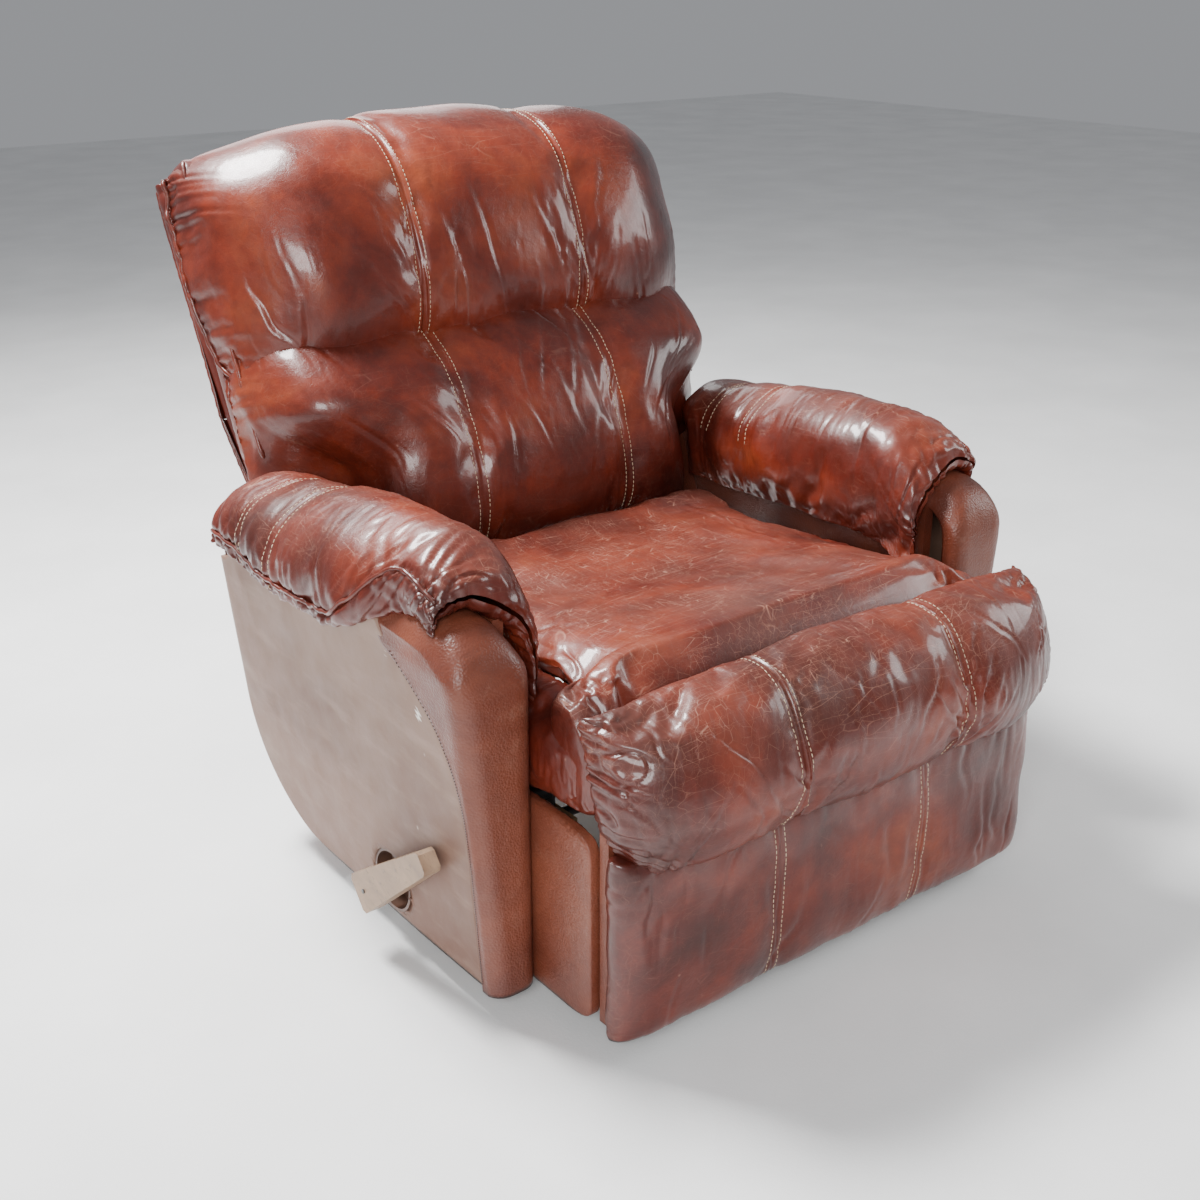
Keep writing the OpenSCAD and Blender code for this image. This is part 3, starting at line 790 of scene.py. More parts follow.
for side, hand in ((-1, "left"), (1, "right")):
    wing = loft("wing_" + hand, 70, 48, wing_place(side))
    subdivide(wing)
    co = points(wing)
    crumple(wing, co[:, 1], back_height(co), 0.0012, 0.05, 0.10, 33 + side, 0.8)
    wing.data.materials.append(back_leather)
    keep(wing, "wear", 0.12)
    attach(wing, "backrest")
    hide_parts("back_wing_" + hand)
    z = np.linspace(0.272, 0.706, 110)
    welt("wing_welt_" + hand, on_back(np.full(110, side * 0.3885), -0.0165 + 0.001 * waves(z, 0.06, 8), z),
         0.0034, "backrest", back_leather, on=wing)
    z = np.linspace(0.180, 0.690, 110)
    welt("rear_welt_" + hand, on_back(np.full(110, side * 0.3870), 0.1045 + 0 * z, z),
         0.0032, "backrest", back_leather, on=rear_cover)


# Seat cover: one soft cushion over zigzag springs, with a roll along its front that is wider than the
# clear width between the arms and notched below for the swing links. Its top is the most scratched.
def seat_place(u, turn):
    y = -0.159 + u * 0.267
    roll = 1 - ease(y, -0.338, -0.328)
    square = 2 / (5 + 6 * roll)
    v, t = bulge(np.sin(turn), square), bulge(np.cos(turn), square)
    width = 0.292 + 0.055 * roll
    closed = np.sqrt(np.maximum(0, 1 - np.abs(u) ** 20))
    top = (0.414 + 0.020 * ease(-y, 0.08, 0.30) + 0.018 * ease(y, 0.02, 0.095)
           + 0.010 * np.exp(-((y + 0.36) / 0.05) ** 2))
    top = top - 0.018 * np.abs(t) ** 5 - 0.040 * ease(-y, 0.375, 0.426)
    slot = 0.026 * roll * np.exp(-((np.abs(t) * width - 0.294) / 0.016) ** 4)
    bottom = 0.381 - 0.092 * roll + slot
    middle = (top + bottom) / 2
    z = middle + v * (top - bottom) / 2 * closed
    return np.stack([t * width * (0.96 + 0.04 * closed), y, z], axis=1)


seat = loft("seat_cover", 110, 150, seat_place)
co = points(seat)
inflate(seat, (co[:, 2] < 0.30) | (co[:, 1] > 0.095), cap=0.016, pressure=3.0)
subdivide(seat)
stuffing(seat, 0.14, 0.0026, 44)
co = points(seat)
crumple(seat, co[:, 0], co[:, 1], 0.0012, 0.05, 0.09, 47, ease(normals(seat)[:, 2], 0.2, 0.7))
front = ease(-normals(seat)[:, 1], 0.3, 0.8)
crumple(seat, co[:, 0], co[:, 2], 0.0024, 0.035, 0.12, 48, front)
for side in (-1, 1):
    wide = ease(side * co[:, 0], 0.335, 0.350)
    pleats(seat, co[:, 2] - co[:, 1], 0.06 * (1 - wide) + 0.4 * np.maximum(0, co[:, 1] + 0.405),
           0.0042, 0.013, 0.030, 49 + side)
seat.data.materials.append(pillow_leather)
# Upward-facing parts get more wear and more painted sheen.
keep(seat, "wear", 0.1 + 0.9 * ease(normals(seat)[:, 2], 0.2, 0.8))
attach(seat, "seat")
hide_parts("seat_cushion", "seat_front_roll")


# Leg-rest pillow: a fat leather roll over the top of the leg-rest board, in three panels. Both ends are
# gathered into ragged puckers and the lower corners hang past the panel below.
PILLOW_SEAM = 0.139


def leg_pillow_place(u, turn):
    v, t = bulge(np.sin(turn), 2 / 2.5), bulge(np.cos(turn), 2 / 2.5)
    top = 0.458 - 0.022 * np.abs(u) ** 3
    bottom = 0.262 - 0.012 * np.abs(u) ** 3
    z = 0.360 + v * np.where(v > 0, top - 0.360, 0.360 - bottom)
    width = 0.362 - 0.030 * ease(-v, 0.25, 1.0)
    closed = np.sqrt(np.maximum(0, 1 - np.abs(u) ** 6))
    lean = 0.026 * ease(v, -0.4, 1.0)
    ends = 0.034 * (1 - closed)
    deep = np.where(t < 0, 0.070, 0.048)
    return np.stack([u * width, -0.4775 + lean + ends + t * closed * deep, z], axis=1)


leg_pillow = loft("leg_pillow", 136, 100, leg_pillow_place, crowd=(-0.38, 0.38))
co = points(leg_pillow)
from_seam = np.minimum(np.abs(co[:, 0] - PILLOW_SEAM), np.abs(co[:, 0] + PILLOW_SEAM))
inflate(leg_pillow, (from_seam < 0.004) | (np.abs(kept(leg_pillow, "along")) > 0.998)
        | (co[:, 1] > -0.436), cap=0.014)
subdivide(leg_pillow)
stuffing(leg_pillow, 0.13, 0.0024, 51)
rng = random.Random(31)
strokes = scattered(rng, leg_pillow_place, 24, (-0.85, 0.85), (-0.5, 0.5), (0.5, 1.3), (78, 104),
                    (0.0012, 0.0030), (0.0028, 0.0060))
for seam in (-PILLOW_SEAM / 0.358, PILLOW_SEAM / 0.358):
    for side in (-1, 1):
        strokes += scattered(rng, leg_pillow_place, 3, (seam + 0.05 * side, seam + 0.14 * side), (-0.6, 0.2),
                             (0.6, 1.0), (90 - 12 * side, 90 - 6 * side), (0.0025, 0.0042), (0.004, 0.0065))
fold_lines(leg_pillow, strokes)
co = points(leg_pillow)
for side in (-1, 1):
    from_end = 0.368 - 0.030 * ease(-co[:, 2], -0.335, -0.27) - side * co[:, 0]
    pleats(leg_pillow, co[:, 2], from_end, 0.0060, 0.015, 0.050, 63 + side, slant=-0.35)
    crumple(leg_pillow, co[:, 0], co[:, 2], 0.0030, 0.05, 0.05, 66 + side, ease(side * co[:, 0], 0.26, 0.35))
pleats(leg_pillow, co[:, 0], co[:, 2] - 0.268, 0.0032, 0.030, 0.040, 68)
crumple(leg_pillow, co[:, 0], co[:, 2], 0.0016, 0.040, 0.16, 69, 0.7)
for seam in (-PILLOW_SEAM, PILLOW_SEAM):
    sewn_seam(leg_pillow, points(leg_pillow)[:, 0] - seam)
leg_pillow.data.materials.append(pillow_leather)
# The top of the roll gets more wear and more painted sheen.
keep(leg_pillow, "wear", 0.35 + 0.6 * ease(points(leg_pillow)[:, 2], 0.36, 0.43))
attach(leg_pillow, "legrest")
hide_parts("legrest_pillow")
thread_rows("leg_pillow_thread", leg_pillow, twin_rows(PILLOW_SEAM),
            lambda p: p.y < -0.437, "legrest")


# Leg-rest panel: the flat lower half of the leg-rest, a thin pad and three leather panels stretched over
# board and stapled behind. Its seams line up with the pillow's and its lower corners are rubbed pale.
PANEL_SEAM = 0.126


def leg_panel_place(u, turn):
    v, t = bulge(np.sin(turn), 2 / 5), bulge(np.cos(turn), 2 / 5)
    closed = np.sqrt(np.maximum(0, 1 - np.abs(u) ** 16))
    z = 0.154 + v * 0.120
    front = 0.034 + 0.006 * (1 - v ** 2) * (1 - u ** 2)
    return np.stack([u * 0.355, -0.462 + t * closed * np.where(t < 0, front, 0.0300), z], axis=1)


leg_panel = loft("leg_panel", 110, 96, leg_panel_place, crowd=(-0.355, 0.355))
subdivide(leg_panel)
stuffing(leg_panel, 0.12, 0.0016, 71)
rng = random.Random(37)
fold_lines(leg_panel, scattered(rng, leg_panel_place, 26, (-0.9, 0.9), (-0.6, 0.7), (0.5, 1.5), (78, 100),
                                (0.0010, 0.0026), (0.004, 0.008), power=5))
co = points(leg_panel)
pleats(leg_panel, co[:, 0], 0.278 - co[:, 2], 0.0030, 0.026, 0.060, 81)
pleats(leg_panel, co[:, 0], co[:, 2] - 0.030, 0.0014, 0.030, 0.035, 84)
crumple(leg_panel, co[:, 0], co[:, 2], 0.0011, 0.045, 0.20, 87, 0.7)
for side in (-1, 1):
    pleats(leg_panel, co[:, 2], 0.357 - side * co[:, 0], 0.0022, 0.020, 0.022, 88 + side)
for seam in (-PANEL_SEAM, PANEL_SEAM):
    sewn_seam(leg_panel, points(leg_panel)[:, 0] - seam)
leg_panel.data.materials.append(pillow_leather)
co = points(leg_panel)
corner = ease(np.abs(co[:, 0]), 0.345, 0.358) * ease(-co[:, 2], -0.15, -0.06)
keep(leg_panel, "wear", 0.22 + 0.7 * corner)
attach(leg_panel, "legrest")
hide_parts("legrest_panel")
thread_rows("leg_panel_thread", leg_panel, twin_rows(PANEL_SEAM),
            lambda p: p.y < -0.470, "legrest")


# Arm pillows: saddle-shaped leather pads over the arms, thick on top and thin on both sides. Two
# twin-needle seams cross each one, its outer edge has a flat welted band, and its front is gathered.
SADDLE = np.array([(0.327, 0.414), (0.322, 0.460), (0.327, 0.508), (0.350, 0.540), (0.394, 0.551),
                   (0.438, 0.544), (0.470, 0.519), (0.481, 0.485), (0.483, 0.456)])
SADDLE_RUN = np.concatenate([[0], np.cumsum(np.linalg.norm(np.diff(SADDLE, axis=0), axis=1))])


def saddle_line(s):
    """Across the arm from the seat side (0) to the outside (1)."""
    out = 0
    for shift in (-0.06, -0.03, 0, 0.03, 0.06):
        at = np.clip(s + shift, 0, 1) * SADDLE_RUN[-1]
        out = out + np.stack([np.interp(at, SADDLE_RUN, SADDLE[:, k]) for k in (0, 1)], axis=1) / 5
    return out


def points_y(u):
    return -0.033 + u * 0.234


def whole(y):
    """How far across the pad reaches: less towards its front and its rear."""
    return 1 - 0.18 * ease(-y, 0.07, 0.23) - 0.07 * ease(y, 0.04, 0.20)


def welt_line(y):
    """How far across the welt lies. It climbs over the front of the arm."""
    return 0.935 - 0.250 * ease(-y, 0.085, 0.205) - 0.06 * ease(y, 0.04, 0.20)


def saddle_place(side):
    def place(u, turn):
        s = (1 - np.cos(turn)) / 2
        y = points_y(u) - 0.018 * ease(-u, 0.6, 1.0) * (1 - s)
        s = s * whole(y)
        y = y + 0.034 * ease(u, 0.6, 1.0) * ease(s, 0.22, 0.42)
        line = saddle_line(s)
        step = saddle_line(np.clip(s + 0.02, 0, 1)) - saddle_line(np.clip(s - 0.02, 0, 1))
        step /= np.linalg.norm(step, axis=1, keepdims=True) + 1e-9
        out = np.stack([-step[:, 1], step[:, 0]], axis=1)
        closed = np.sqrt(np.maximum(0, 1 - np.abs(u) ** 7))
        over = bulge(np.maximum(0, np.sin(turn)), 0.62)
        under = bulge(np.maximum(0, -np.sin(turn)), 0.62)
        top = np.exp(-((s - 0.50) / 0.24) ** 2)
        thick = ((0.016 + 0.024 * top) * over * (0.15 + 0.85 * closed)
                 - (0.014 + 0.020 * top) * under * closed)
        tuck = 0.024 * ease(-y, 0.09, 0.20) * ease(s - welt_line(y), 0.0, 0.16)
        nose = ease(-u, 0.72, 1.0) * (0.024 - 0.018 * ease(s, 0.40, 0.60))
        z_drop = nose + 0.028 * ease(y, -0.10, 0.20) * (0.3 + 0.7 * top) + 0.006 * ease(-y, 0.2, 0.27)
        x = side * (line[:, 0] + out[:, 0] * thick - tuck)
        return np.stack([x, y, line[:, 1] + out[:, 1] * thick - z_drop], axis=1)
    return place


for side, hand in ((-1, "left"), (1, "right")):
    place = saddle_place(side)
    pad = loft("arm_pad_" + hand, 96, 96, place)
    co, turned = points(pad), kept(pad, "turn_sin")
    ends = np.abs(kept(pad, "along")) > 0.998
    on_seam = (np.abs(co[:, 1] - 0.060) < 0.004) | (np.abs(co[:, 1] - 0.150) < 0.004)
    inflate(pad, ends | (turned < 0.12) | on_seam, cap=0.012, pressure=3.5)
    subdivide(pad)
    stuffing(pad, 0.10, 0.0020, 90 + side)
    co = points(pad)
    along, across = kept(pad, "along"), kept(pad, "turn_cos")
    over = ease(kept(pad, "turn_sin"), 0.0, 0.3)
    run = (1 - across) / 2 * SADDLE_RUN[-1]
    crumple(pad, co[:, 1], run, 0.0018, 0.040, 0.14, 92 + side, over)
    from_welt = SADDLE_RUN[-1] * welt_line(co[:, 1]) - run
    pleats(pad, co[:, 1] + 0.25 * run, from_welt, 0.0040, 0.026, 0.10, 94 + side, slant=0.25)
    pleats(pad, run, 0.27 + co[:, 1], 0.0046, 0.022, 0.055, 97 + side, slant=0.5)
    crumple(pad, co[:, 1], run, 0.0040, 0.030, 0.08, 98 + side, (1 - over) * ease(-co[:, 1], 0.12, 0.2))
    reach = (1 - across) / 2 * whole(co[:, 1]) - welt_line(co[:, 1])
    push(pad, over * (-0.0035 * np.exp(-(reach / 0.014) ** 2)))
    pleats(pad, co[:, 1] * 1.4 + co[:, 2], 0.35 * np.maximum(reach, 0), 0.0042 * (reach > -0.01),
           0.017, 0.06, 105 + side)
    for seam in (0.060, 0.150):
        sewn_seam(pad, points(pad)[:, 1] - seam, over)
    pad.data.materials.append(pillow_leather)
    # Upward-facing parts get more wear and more painted sheen.
    keep(pad, "wear", 0.18 + 0.72 * ease(normals(pad)[:, 2], 0.3, 0.9))
    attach(pad, "chair_frame")
    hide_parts("arm_pillow_" + hand)
    thread_rows("arm_thread_" + hand, pad,
                [((0, s + d, 0), (0, 1, 0)) for s in (0.060, 0.150) for d in (-NEEDLE_ROW, NEEDLE_ROW)],
                lambda p: p.z > 0.50 or abs(p.x) > 0.47, "chair_frame")
    u = np.linspace(-0.985, 0.975, 150)
    edge = place(u, np.arccos(np.clip(1 - 2 * welt_line(points_y(u)) / whole(points_y(u)), -1, 1)))
    welt("arm_welt_" + hand, edge, 0.0029, "chair_frame", pillow_leather, on=pad)


# Arm facings and outer side panels: pebbled brown leather wraps each arm's front from the seat side round
# to a curved seam, and a smoother taupe hide covers the flat outer wall behind that seam.
SEAM_HEIGHTS = (0.033, 0.235, 0.315, 0.382, 0.420, 0.452, 0.480)
SEAM_DEPTHS = (-0.299, -0.311, -0.308, -0.282, -0.249, -0.199, -0.160)


def wall_x(z):
    return 0.4212 + 0.0945 * (z - 0.042)


def facing_seam(z):
    out = 0
    for shift in (-0.03, -0.015, 0, 0.015, 0.03):
        out = out + np.interp(z + shift, SEAM_HEIGHTS, SEAM_DEPTHS) / 5
    return out


def grid_sheet(name, columns, rows, place):
    """A covering laid over a firm wall: a bent grid that is given a thickness."""
    bm = bmesh.new()
    bmesh.ops.create_grid(bm, x_segments=columns, y_segments=rows, size=1)
    piece = new_piece(name, bm)
    grid = points(piece)
    keep(piece, "along", grid[:, 0])
    keep(piece, "up", grid[:, 1])
    move_points(piece, place((grid[:, 0] + 1) / 2, (grid[:, 1] + 1) / 2))
    return piece


def back_it(piece, thick, inside):
    """Gives a laid covering its thickness on the side of a point inside the arm."""
    bm = bmesh.new()
    bm.from_mesh(piece.data)
    bm.normal_update()
    toward = sum(f.normal.dot(Vector(inside) - f.calc_center_median()) * f.calc_area() for f in bm.faces)
    if toward > 0:
        bmesh.ops.reverse_faces(bm, faces=bm.faces)
        bm.normal_update()
    bmesh.ops.remove_doubles(bm, verts=bm.verts, dist=0.0004)
    bmesh.ops.dissolve_degenerate(bm, dist=1e-5, edges=bm.edges)
    bm.normal_update()
    outward = {tuple(v.co): v.normal.copy() for v in bm.verts}
    grown = bmesh.ops.extrude_face_region(bm, geom=bm.faces[:], use_keep_orig=True)
    for v in [g for g in grown["geom"] if isinstance(g, bmesh.types.BMVert)]:
        v.co -= outward[tuple(v.co)] * thick
    bmesh.ops.recalc_face_normals(bm, faces=bm.faces)
    bm.to_mesh(piece.data)
    bm.free()
    piece.data.polygons.foreach_set("use_smooth", np.ones(len(piece.data.polygons), bool))


RISE = np.array([(0.0, 0.036), (0.0, 0.430), (0.002, 0.450), (0.007, 0.468), (0.015, 0.484), (0.026, 0.497),
                 (0.041, 0.507), (0.060, 0.513), (0.090, 0.516), (0.170, 0.518)])
RISE_RUN = np.concatenate([[0], np.cumsum(np.linalg.norm(np.diff(RISE, axis=0), axis=1))])


def facing_place(side):
    def place(p, q):
        run = q * 0.640
        z = np.interp(run, RISE_RUN, RISE[:, 1])
        front = -0.3290 + np.interp(run, RISE_RUN, RISE[:, 0])
        wall = wall_x(z) + 0.0012
        dome = ease(z, 0.44, 0.520)
        seam = np.maximum(facing_seam(z), front)
        first, second, third = seam - front, wall - 0.3575, 0.028
        far = first + second + third
        x, y = 0, 0
        for shift in np.linspace(-0.024, 0.024, 9):
            at = np.clip(p * far + shift * (1 - np.abs(2 * p - 1) ** 8), 0, far)
            x = x + np.where(at < first, wall, np.maximum(wall - (at - first), 0.3575)) / 9
            y = y + np.where(at < first, seam - at, np.where(at < first + second, front,
                                                             front + at - first - second)) / 9
        middle = (wall + 0.3575) / 2
        drop = 0.030 * dome * np.abs((x - middle) / (wall - middle)) ** 3
        return np.stack([side * (middle + (x - middle) * (1 - 0.12 * dome ** 2)), y, z - drop], axis=1)
    return place


def wall_place(side):
    def place(p, q):
        z = 0.042 + q * (0.452 - 0.060 * ease(p, 0.78, 1.0))
        low = np.clip(0.180 - (z - 0.042), 0, 0.180)
        rear = 0.268 - (0.180 - np.sqrt(0.180 ** 2 - low ** 2))
        seam = facing_seam(z) + 0.0008
        y = seam + p * (rear - seam)
        soft = (0.0035 * np.sin(math.pi * np.clip(p, 0, 1)) ** 0.4
                * np.sin(math.pi * np.clip(q, 0.02, 0.98)) ** 0.4)
        return np.stack([side * (wall_x(z) - 0.0010 + soft), y, z], axis=1)
    return place


def pebbled_leather():
    """Semi-gloss brown leather with a pebbled grain, as on the firm parts of the arms."""
    f = Finish("facing_leather", Coat_Weight=0.10, Coat_Roughness=0.3, Specular_IOR_Level=0.42)
    shade = f.node("ShaderNodeValToRGB", {"stops": [
        (0.30, (0.066, 0.0150, 0.0090)), (0.50, (0.122, 0.0290, 0.0145)), (0.70, (0.185, 0.052, 0.027))]},
        {0: f.noise(4.2, 6, 0.62, distortion=0.5)})
    cloud = f.between(f.noise(18, 4), 0.45, 0.75)
    shade = f.mix(cloud * 0.35, shade, (0.060, 0.018, 0.014))
    dust = f.between(f.noise(30, 6, 0.7), 0.55, 0.75) * f.wear_and_sheen_mask()
    shade = f.mix(dust * 0.5, shade, (0.33, 0.20, 0.15))
    # Painted shadow: a black band along the very bottom edge, where the thin shadow line under the chair
    # falls.
    edge = f.between(f.node("ShaderNodeSeparateXYZ", {}, {0: f.place}, 2), 0.036, 0.041, 1, 0)
    shade = f.mix(edge, shade, (0.010, 0.009, 0.009))
    grain = f.relief(f.between(f.cells(330, "F1"), 0.0, 0.75), 0.55, 0.0007)
    soft = f.relief(f.noise(14, 5), 0.25, 0.004, grain)
    return f.apply(Base_Color=shade, Roughness=f.between(f.noise(40, 4), 0.3, 0.7, 0.36, 0.50) + dust * 0.1,
                   Normal=soft)


def smooth_hide():
    """Flat taupe-brown covering of the outer walls: broad lighter and darker areas, faint marks, painted
    shade on the lower part and a painted shadow band along the very bottom.
    """
    f = Finish("panel_leather", Specular_IOR_Level=0.35)
    shade = f.node("ShaderNodeValToRGB", {"stops": [
        (0.32, (0.150, 0.078, 0.054)), (0.50, (0.225, 0.133, 0.095)), (0.68, (0.270, 0.175, 0.130))]},
        {0: f.noise(2.6, 4, 0.5, distortion=0.6)})
    # Painted shade: the wall is darkened below about 0.3 m.
    height = f.node("ShaderNodeSeparateXYZ", {}, {0: f.place}, 2)
    low = f.between(height + f.noise(6, 3) * 0.10, 0.10, 0.30, 0.55, 0)
    shade = f.mix(low, shade, (0.150, 0.066, 0.042))
    fibres = f.between(f.noise(1.0, 5, 0.6, at=f.stretched((60, 9, 34), (0.5, 0, 0))), 0.52, 0.74)
    shade = f.mix(fibres * 0.28, shade, (0.36, 0.25, 0.19))
    marks = f.between(f.cells(13, "F1", at=f.stretched((1, 1.6, 1))), 0.0, 0.055, 1, 0)
    shade = f.mix(marks * f.between(f.noise(48, 3), 0.5, 0.6) * 0.8, shade, (0.60, 0.52, 0.44))
    shade = f.mix(f.between(f.wear_and_sheen_mask(), 0.5, 0.9), shade, (0.78, 0.74, 0.68))
    # Painted shadow: a black band along the very bottom edge, where the thin shadow line under the chair
    # falls.
    edge = f.between(f.node("ShaderNodeSeparateXYZ", {}, {0: f.place}, 2), 0.0435, 0.047, 1, 0)
    shade = f.mix(edge, shade, (0.010, 0.009, 0.009))
    grain = f.relief(f.cells(480, "F1"), 0.16, 0.0004)
    wavy = f.relief(f.noise(7, 4), 0.30, 0.008, f.relief(f.noise(120, 5), 0.12, 0.001, grain))
    return f.apply(Base_Color=shade, Roughness=f.between(f.noise(25, 4), 0.3, 0.7, 0.44, 0.58), Normal=wavy)


facing_leather = pebbled_leather()
panel_leather = smooth_hide()
for side, hand in ((-1, "left"), (1, "right")):
    place = facing_place(side)
    facing = grid_sheet("arm_front_" + hand, 70, 90, place)
    co = points(facing)
    pull = ease(co[:, 2], 0.42, 0.50)
    crumple(facing, co[:, 0], co[:, 2], 0.0007, 0.05, 0.09, 101 + side, 0.5 + 0.5 * pull)
    back_it(facing, 0.006, (side * 0.38, 0.0, 0.25))
    facing.data.materials.append(facing_leather)
    co = points(facing)
    rubbed = ease(-np.abs(co[:, 1] + 0.329), -0.012, 0.0) * ease(co[:, 2], 0.3, 0.5)
    keep(facing, "wear", 0.25 + 0.5 * rubbed)
    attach(facing, "chair_frame")
    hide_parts("arm_facing_" + hand)
    place = wall_place(side)
    wall = grid_sheet("arm_wall_" + hand, 84, 70, place)
    if side < 0:
        bm = bmesh.new()
        bm.from_mesh(wall.data)
        for v in bm.verts:
            gap = Vector((0, v.co.y + 0.106, v.co.z - 0.097))
            if 0.036 < gap.length < 0.047:
                v.co += gap * (0.0436 / gap.length - 1)
        doomed = [v for v in bm.verts if math.hypot(v.co.y + 0.106, v.co.z - 0.097) < 0.0430]
        bmesh.ops.delete(bm, geom=doomed, context="VERTS")
        bm.to_mesh(wall.data)
        bm.free()
    co = points(wall)
    stuffing(wall, 0.25, 0.0012, 111 + side)
    back_it(wall, 0.006, (side * 0.38, 0.0, 0.25))
    wall.data.materials.append(panel_leather)
    co = points(wall)
    spot = np.exp(-(((co[:, 1] + 0.236) / 0.007) ** 2 + ((co[:, 2] - 0.395) / 0.012) ** 2) ** 2)
    spot = spot + np.exp(-(((co[:, 1] + 0.178) / 0.010) ** 2 + ((co[:, 2] - 0.452) / 0.004) ** 2) ** 2)
    keep(wall, "wear", np.clip(spot * (side < 0), 0, 1))
    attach(wall, "chair_frame")
    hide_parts("side_panel_" + hand)
    z = np.linspace(0.050, 0.462, 240)
    line = np.stack([side * (wall_x(z) + 0.0022), facing_seam(z) - 0.0035, z], axis=1)
    bm = bmesh.new()
    for a, b in zip(line[::2], line[1::2]):
        a, b = Vector(a), Vector(b)
        bead(bm, (a + b) / 2, (b - a).normalized(), Vector((side, 0, 0)), 0.0013, 0.0005)
    seam = new_piece("facing_thread_" + hand, bm)
    seam.data.materials.append(dark_thread)
    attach(seam, "chair_frame")


# Arm backs: a strip of the back's leather closes each arm behind, from the pillow down and forward under
# the rounded corner of the outer wall. It is stapled to the rear post.
def arm_back_place(side):
    def place(p, q):
        run = p * (0.300 + 0.180 * math.pi / 2)
        turn = np.clip((run - 0.300) / 0.180, 0, math.pi / 2)
        y = 0.088 + 0.1795 * np.cos(turn)
        z = np.where(run < 0.300, 0.222 + (0.300 - run) * 0.90, 0.222 - 0.1795 * np.sin(turn))
        wide = wall_x(z) - 0.0075 - 0.3578
        bow = 0.002 * np.sin(math.pi * np.clip(q, 0, 1))
        return np.stack([side * (0.3578 + q * wide), y + bow * np.cos(turn), z - bow * np.sin(turn)], axis=1)
    return place


for side, hand in ((-1, "left"), (1, "right")):
    strip = grid_sheet("arm_back_" + hand, 80, 16, arm_back_place(side))
    back_it(strip, 0.003, (side * 0.39, 0.0, 0.30))
    strip.data.materials.append(back_leather)
    keep(strip, "wear", 0.15)
    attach(strip, "chair_frame")


# Seat gussets: soft leather sides of the seat, stapled along the seat frame behind the front roll. They
# close the gap between the cushion and the arms and cover the side rails.
def skirt_place(side):
    def place(u, turn):
        closed = np.sqrt(np.maximum(0, 1 - np.abs(u) ** 6))
        y = -0.224 + u * 0.182
        sag = 0.006 * waves(y, 0.05, 7 + side)
        inward = 0.030 * ease(np.sin(turn), 0.1, 0.95)
        return np.stack([side * (0.3265 - inward + 0.0265 * closed * bulge(np.cos(turn), 0.5)), y,
                         0.347 + sag + 0.054 * closed * bulge(np.sin(turn), 0.5)], axis=1)
    return place


for side, hand in ((-1, "left"), (1, "right")):
    skirt = loft("seat_skirt_" + hand, 60, 56, skirt_place(side))
    subdivide(skirt)
    co = points(skirt)
    crumple(skirt, co[:, 1], co[:, 2], 0.0035, 0.022, 0.05, 131 + side, 0.9)
    skirt.data.materials.append(back_leather)
    keep(skirt, "wear", 0.1)
    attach(skirt, "seat")


# Seat tail: the black dust cloth that runs from the rear of the seat cushion down behind the lumbar
# pillow, stapled to the rear cross rail.
def tail_place(u, turn):
    closed = np.sqrt(np.maximum(0, 1 - np.abs(u) ** 16))
    across, v = bulge(np.cos(turn), 0.4), bulge(np.sin(turn), 0.6)
    y = 0.078 + 0.050 * across
    sag = 0.004 * waves(u, 0.3, 5) - 0.030 * ease(y, 0.06, 0.128)
    return np.stack([u * 0.288, y, 0.392 + sag + 0.006 * v * closed], axis=1)


def dust_cloth():
    f = Finish("dust_cloth", Roughness=0.92, Specular_IOR_Level=0.15)
    weave = f.noise(1.0, 4, 0.7, at=f.stretched((600, 600, 90), (0, 0, 0.6)))
    shade = f.mix(f.between(f.noise(12, 5), 0.35, 0.7), (0.010, 0.0095, 0.0095), (0.028, 0.026, 0.025))
    return f.apply(Base_Color=shade, Normal=f.relief(weave, 0.5, 0.0005))


tail = loft("seat_tail", 70, 48, tail_place)
subdivide(tail)
co = points(tail)
crumple(tail, co[:, 0], co[:, 1], 0.0018, 0.05, 0.04, 141)
tail.data.materials.append(dust_cloth())
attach(tail, "seat")


# Cheeks: narrow boards beside the leg-rest, wrapped in the arm's pebbled leather and gathered along the
# top, where the cover is drawn over the board's edge.
def cheek_place(side):
    def place(u, turn):
        v, t = bulge(np.sin(turn), 2 / 7), bulge(np.cos(turn), 2 / 7)
        closed = np.sqrt(np.maximum(0, 1 - np.abs(u) ** 20))
        y = -0.340 + v * 0.0868
        z = 0.158 + u * 0.1285
        x = side * (0.3475 + 0.0102 * t * closed)
        return np.stack([x, y * closed - 0.340 * (1 - closed), z], axis=1)
    return place


for side, hand in ((-1, "left"), (1, "right")):
    cheek = loft("cheek_" + hand, 70, 56, cheek_place(side))
    subdivide(cheek)
    co = points(cheek)
    pleats(cheek, co[:, 1], 0.287 - co[:, 2], 0.0018, 0.016, 0.035, 121 + side)
    crumple(cheek, co[:, 1], co[:, 2], 0.0007, 0.05, 0.08, 124 + side, 0.6)
    cheek.data.materials.append(facing_leather)
    keep(cheek, "wear", 0.3)
    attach(cheek, "chair_frame")
    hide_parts("front_cheek_" + hand)


# Lever, cup, frame and mechanism: these keep their own shapes. The lever is pale oiled hardwood, the cup
# is brown plastic, the frame is pine, and the linkage and springs are dull dark steel.
SOIL = (0.10, 0.07, 0.05)


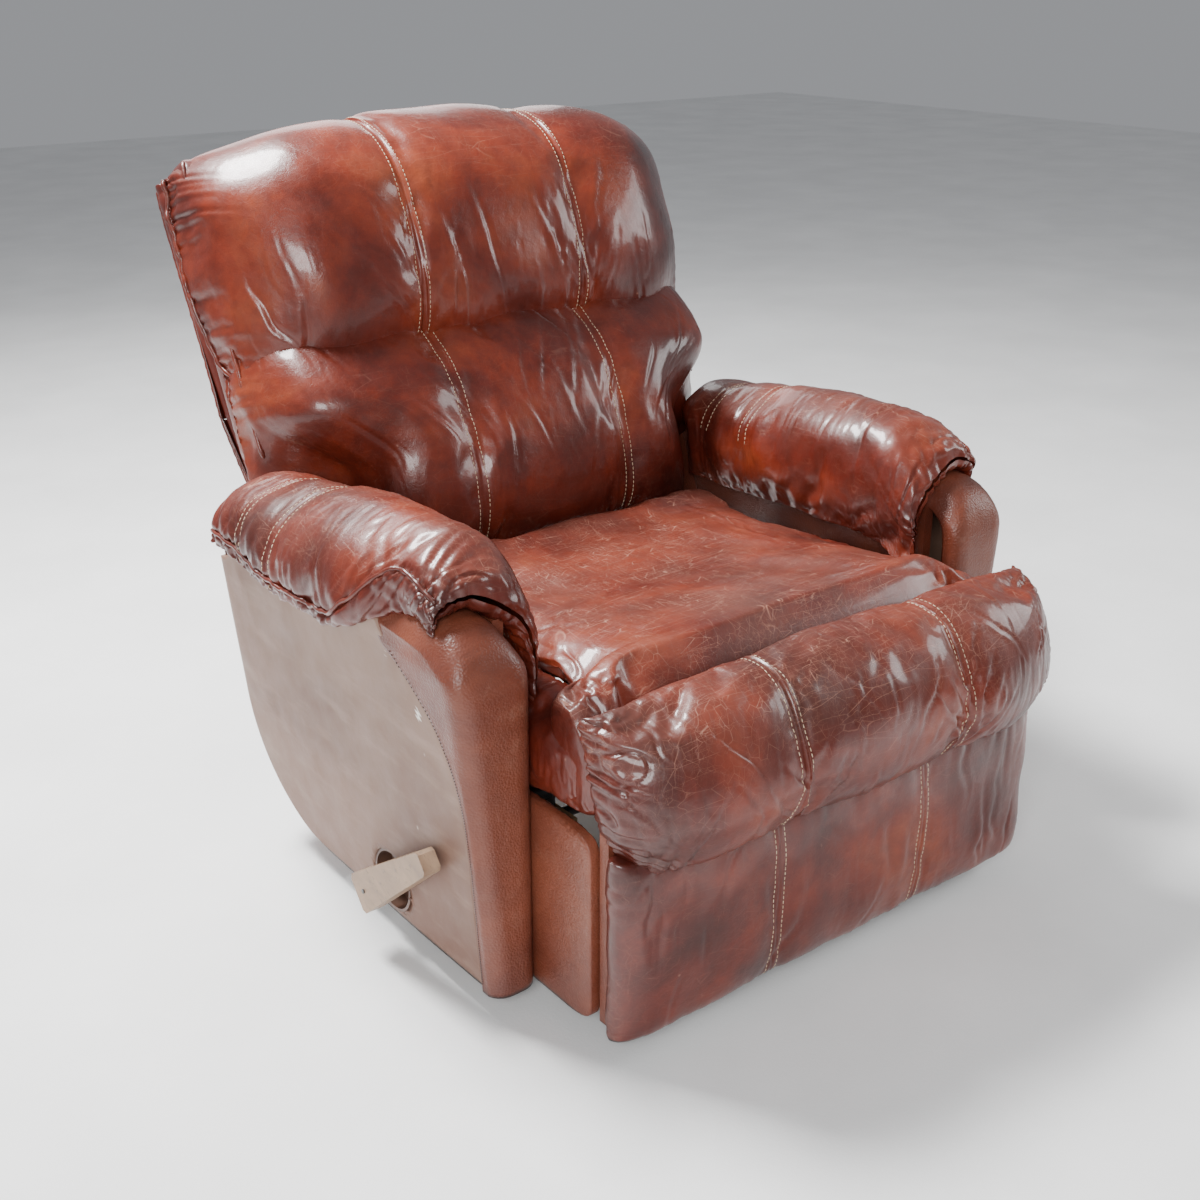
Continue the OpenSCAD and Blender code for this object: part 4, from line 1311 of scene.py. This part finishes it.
def timber(name, light, dark, across, rough=0.5):
    f = Finish(name)
    rings = f.noise(1.0, 6, 0.6, at=f.stretched(across), distortion=0.8)
    shade = f.mix(f.between(rings, 0.35, 0.65), dark, light)
    pores = f.between(f.noise(1.0, 3, 0.5, at=f.stretched(tuple(6 * a for a in across))), 0.58, 0.7)
    shade = f.mix(pores * 0.35, shade, SOIL)
    grimy = f.between(f.noise(22, 5, 0.6), 0.52, 0.75)
    shade = f.mix(grimy * 0.35, shade, SOIL)
    return f.apply(Base_Color=shade, Roughness=f.between(rings, 0.3, 0.7, rough, rough + 0.15),
                   Normal=f.relief(pores + rings * 0.5, 0.3, 0.0006))


def metal(name, colour, rough):
    f = Finish(name, Metallic=1.0)
    blotch = f.noise(35, 5)
    shade = f.mix(f.between(blotch, 0.35, 0.7), tuple(c * 0.6 for c in colour), colour)
    return f.apply(Base_Color=shade, Roughness=f.between(f.noise(90, 4), 0.3, 0.7, rough, rough + 0.2),
                   Normal=f.relief(f.noise(700, 3), 0.15, 0.0003))


def moulded(name, colour, rough):
    f = Finish(name)
    shade = f.mix(f.between(f.noise(16, 5), 0.35, 0.7), tuple(c * 0.72 for c in colour), colour)
    return f.apply(Base_Color=shade, Roughness=f.between(f.noise(60, 4), 0.3, 0.7, rough, rough + 0.15),
                   Normal=f.relief(f.noise(900, 3), 0.25, 0.0003))


finishes = {
    "frame_timber": timber("frame_timber", (0.52, 0.36, 0.20), (0.36, 0.22, 0.11), (30, 5, 5)),
    "lever_timber": timber("lever_timber", (0.34, 0.225, 0.145), (0.22, 0.135, 0.085), (60, 16, 30), 0.42),
    "mechanism_steel": metal("mechanism_steel", (0.20, 0.20, 0.20), 0.40),
    "spring_wire": metal("spring_wire", (0.22, 0.22, 0.23), 0.42),
    "cup_plastic": moulded("cup_plastic", (0.115, 0.055, 0.035), 0.36),
    "black_plastic": moulded("black_plastic", (0.020, 0.019, 0.019), 0.45)}
for part in frame["record"]["subparts"]:
    node = nodes.get(part["node"])
    if node and not node.hide_render and part["material_slot"] in finishes:
        node.data.materials.clear()
        covered = part["node"] in ("legrest_board", "inner_panel_left", "inner_panel_right", "back_uprights")
        node.data.materials.append(facing_leather if covered else finishes[part["material_slot"]])
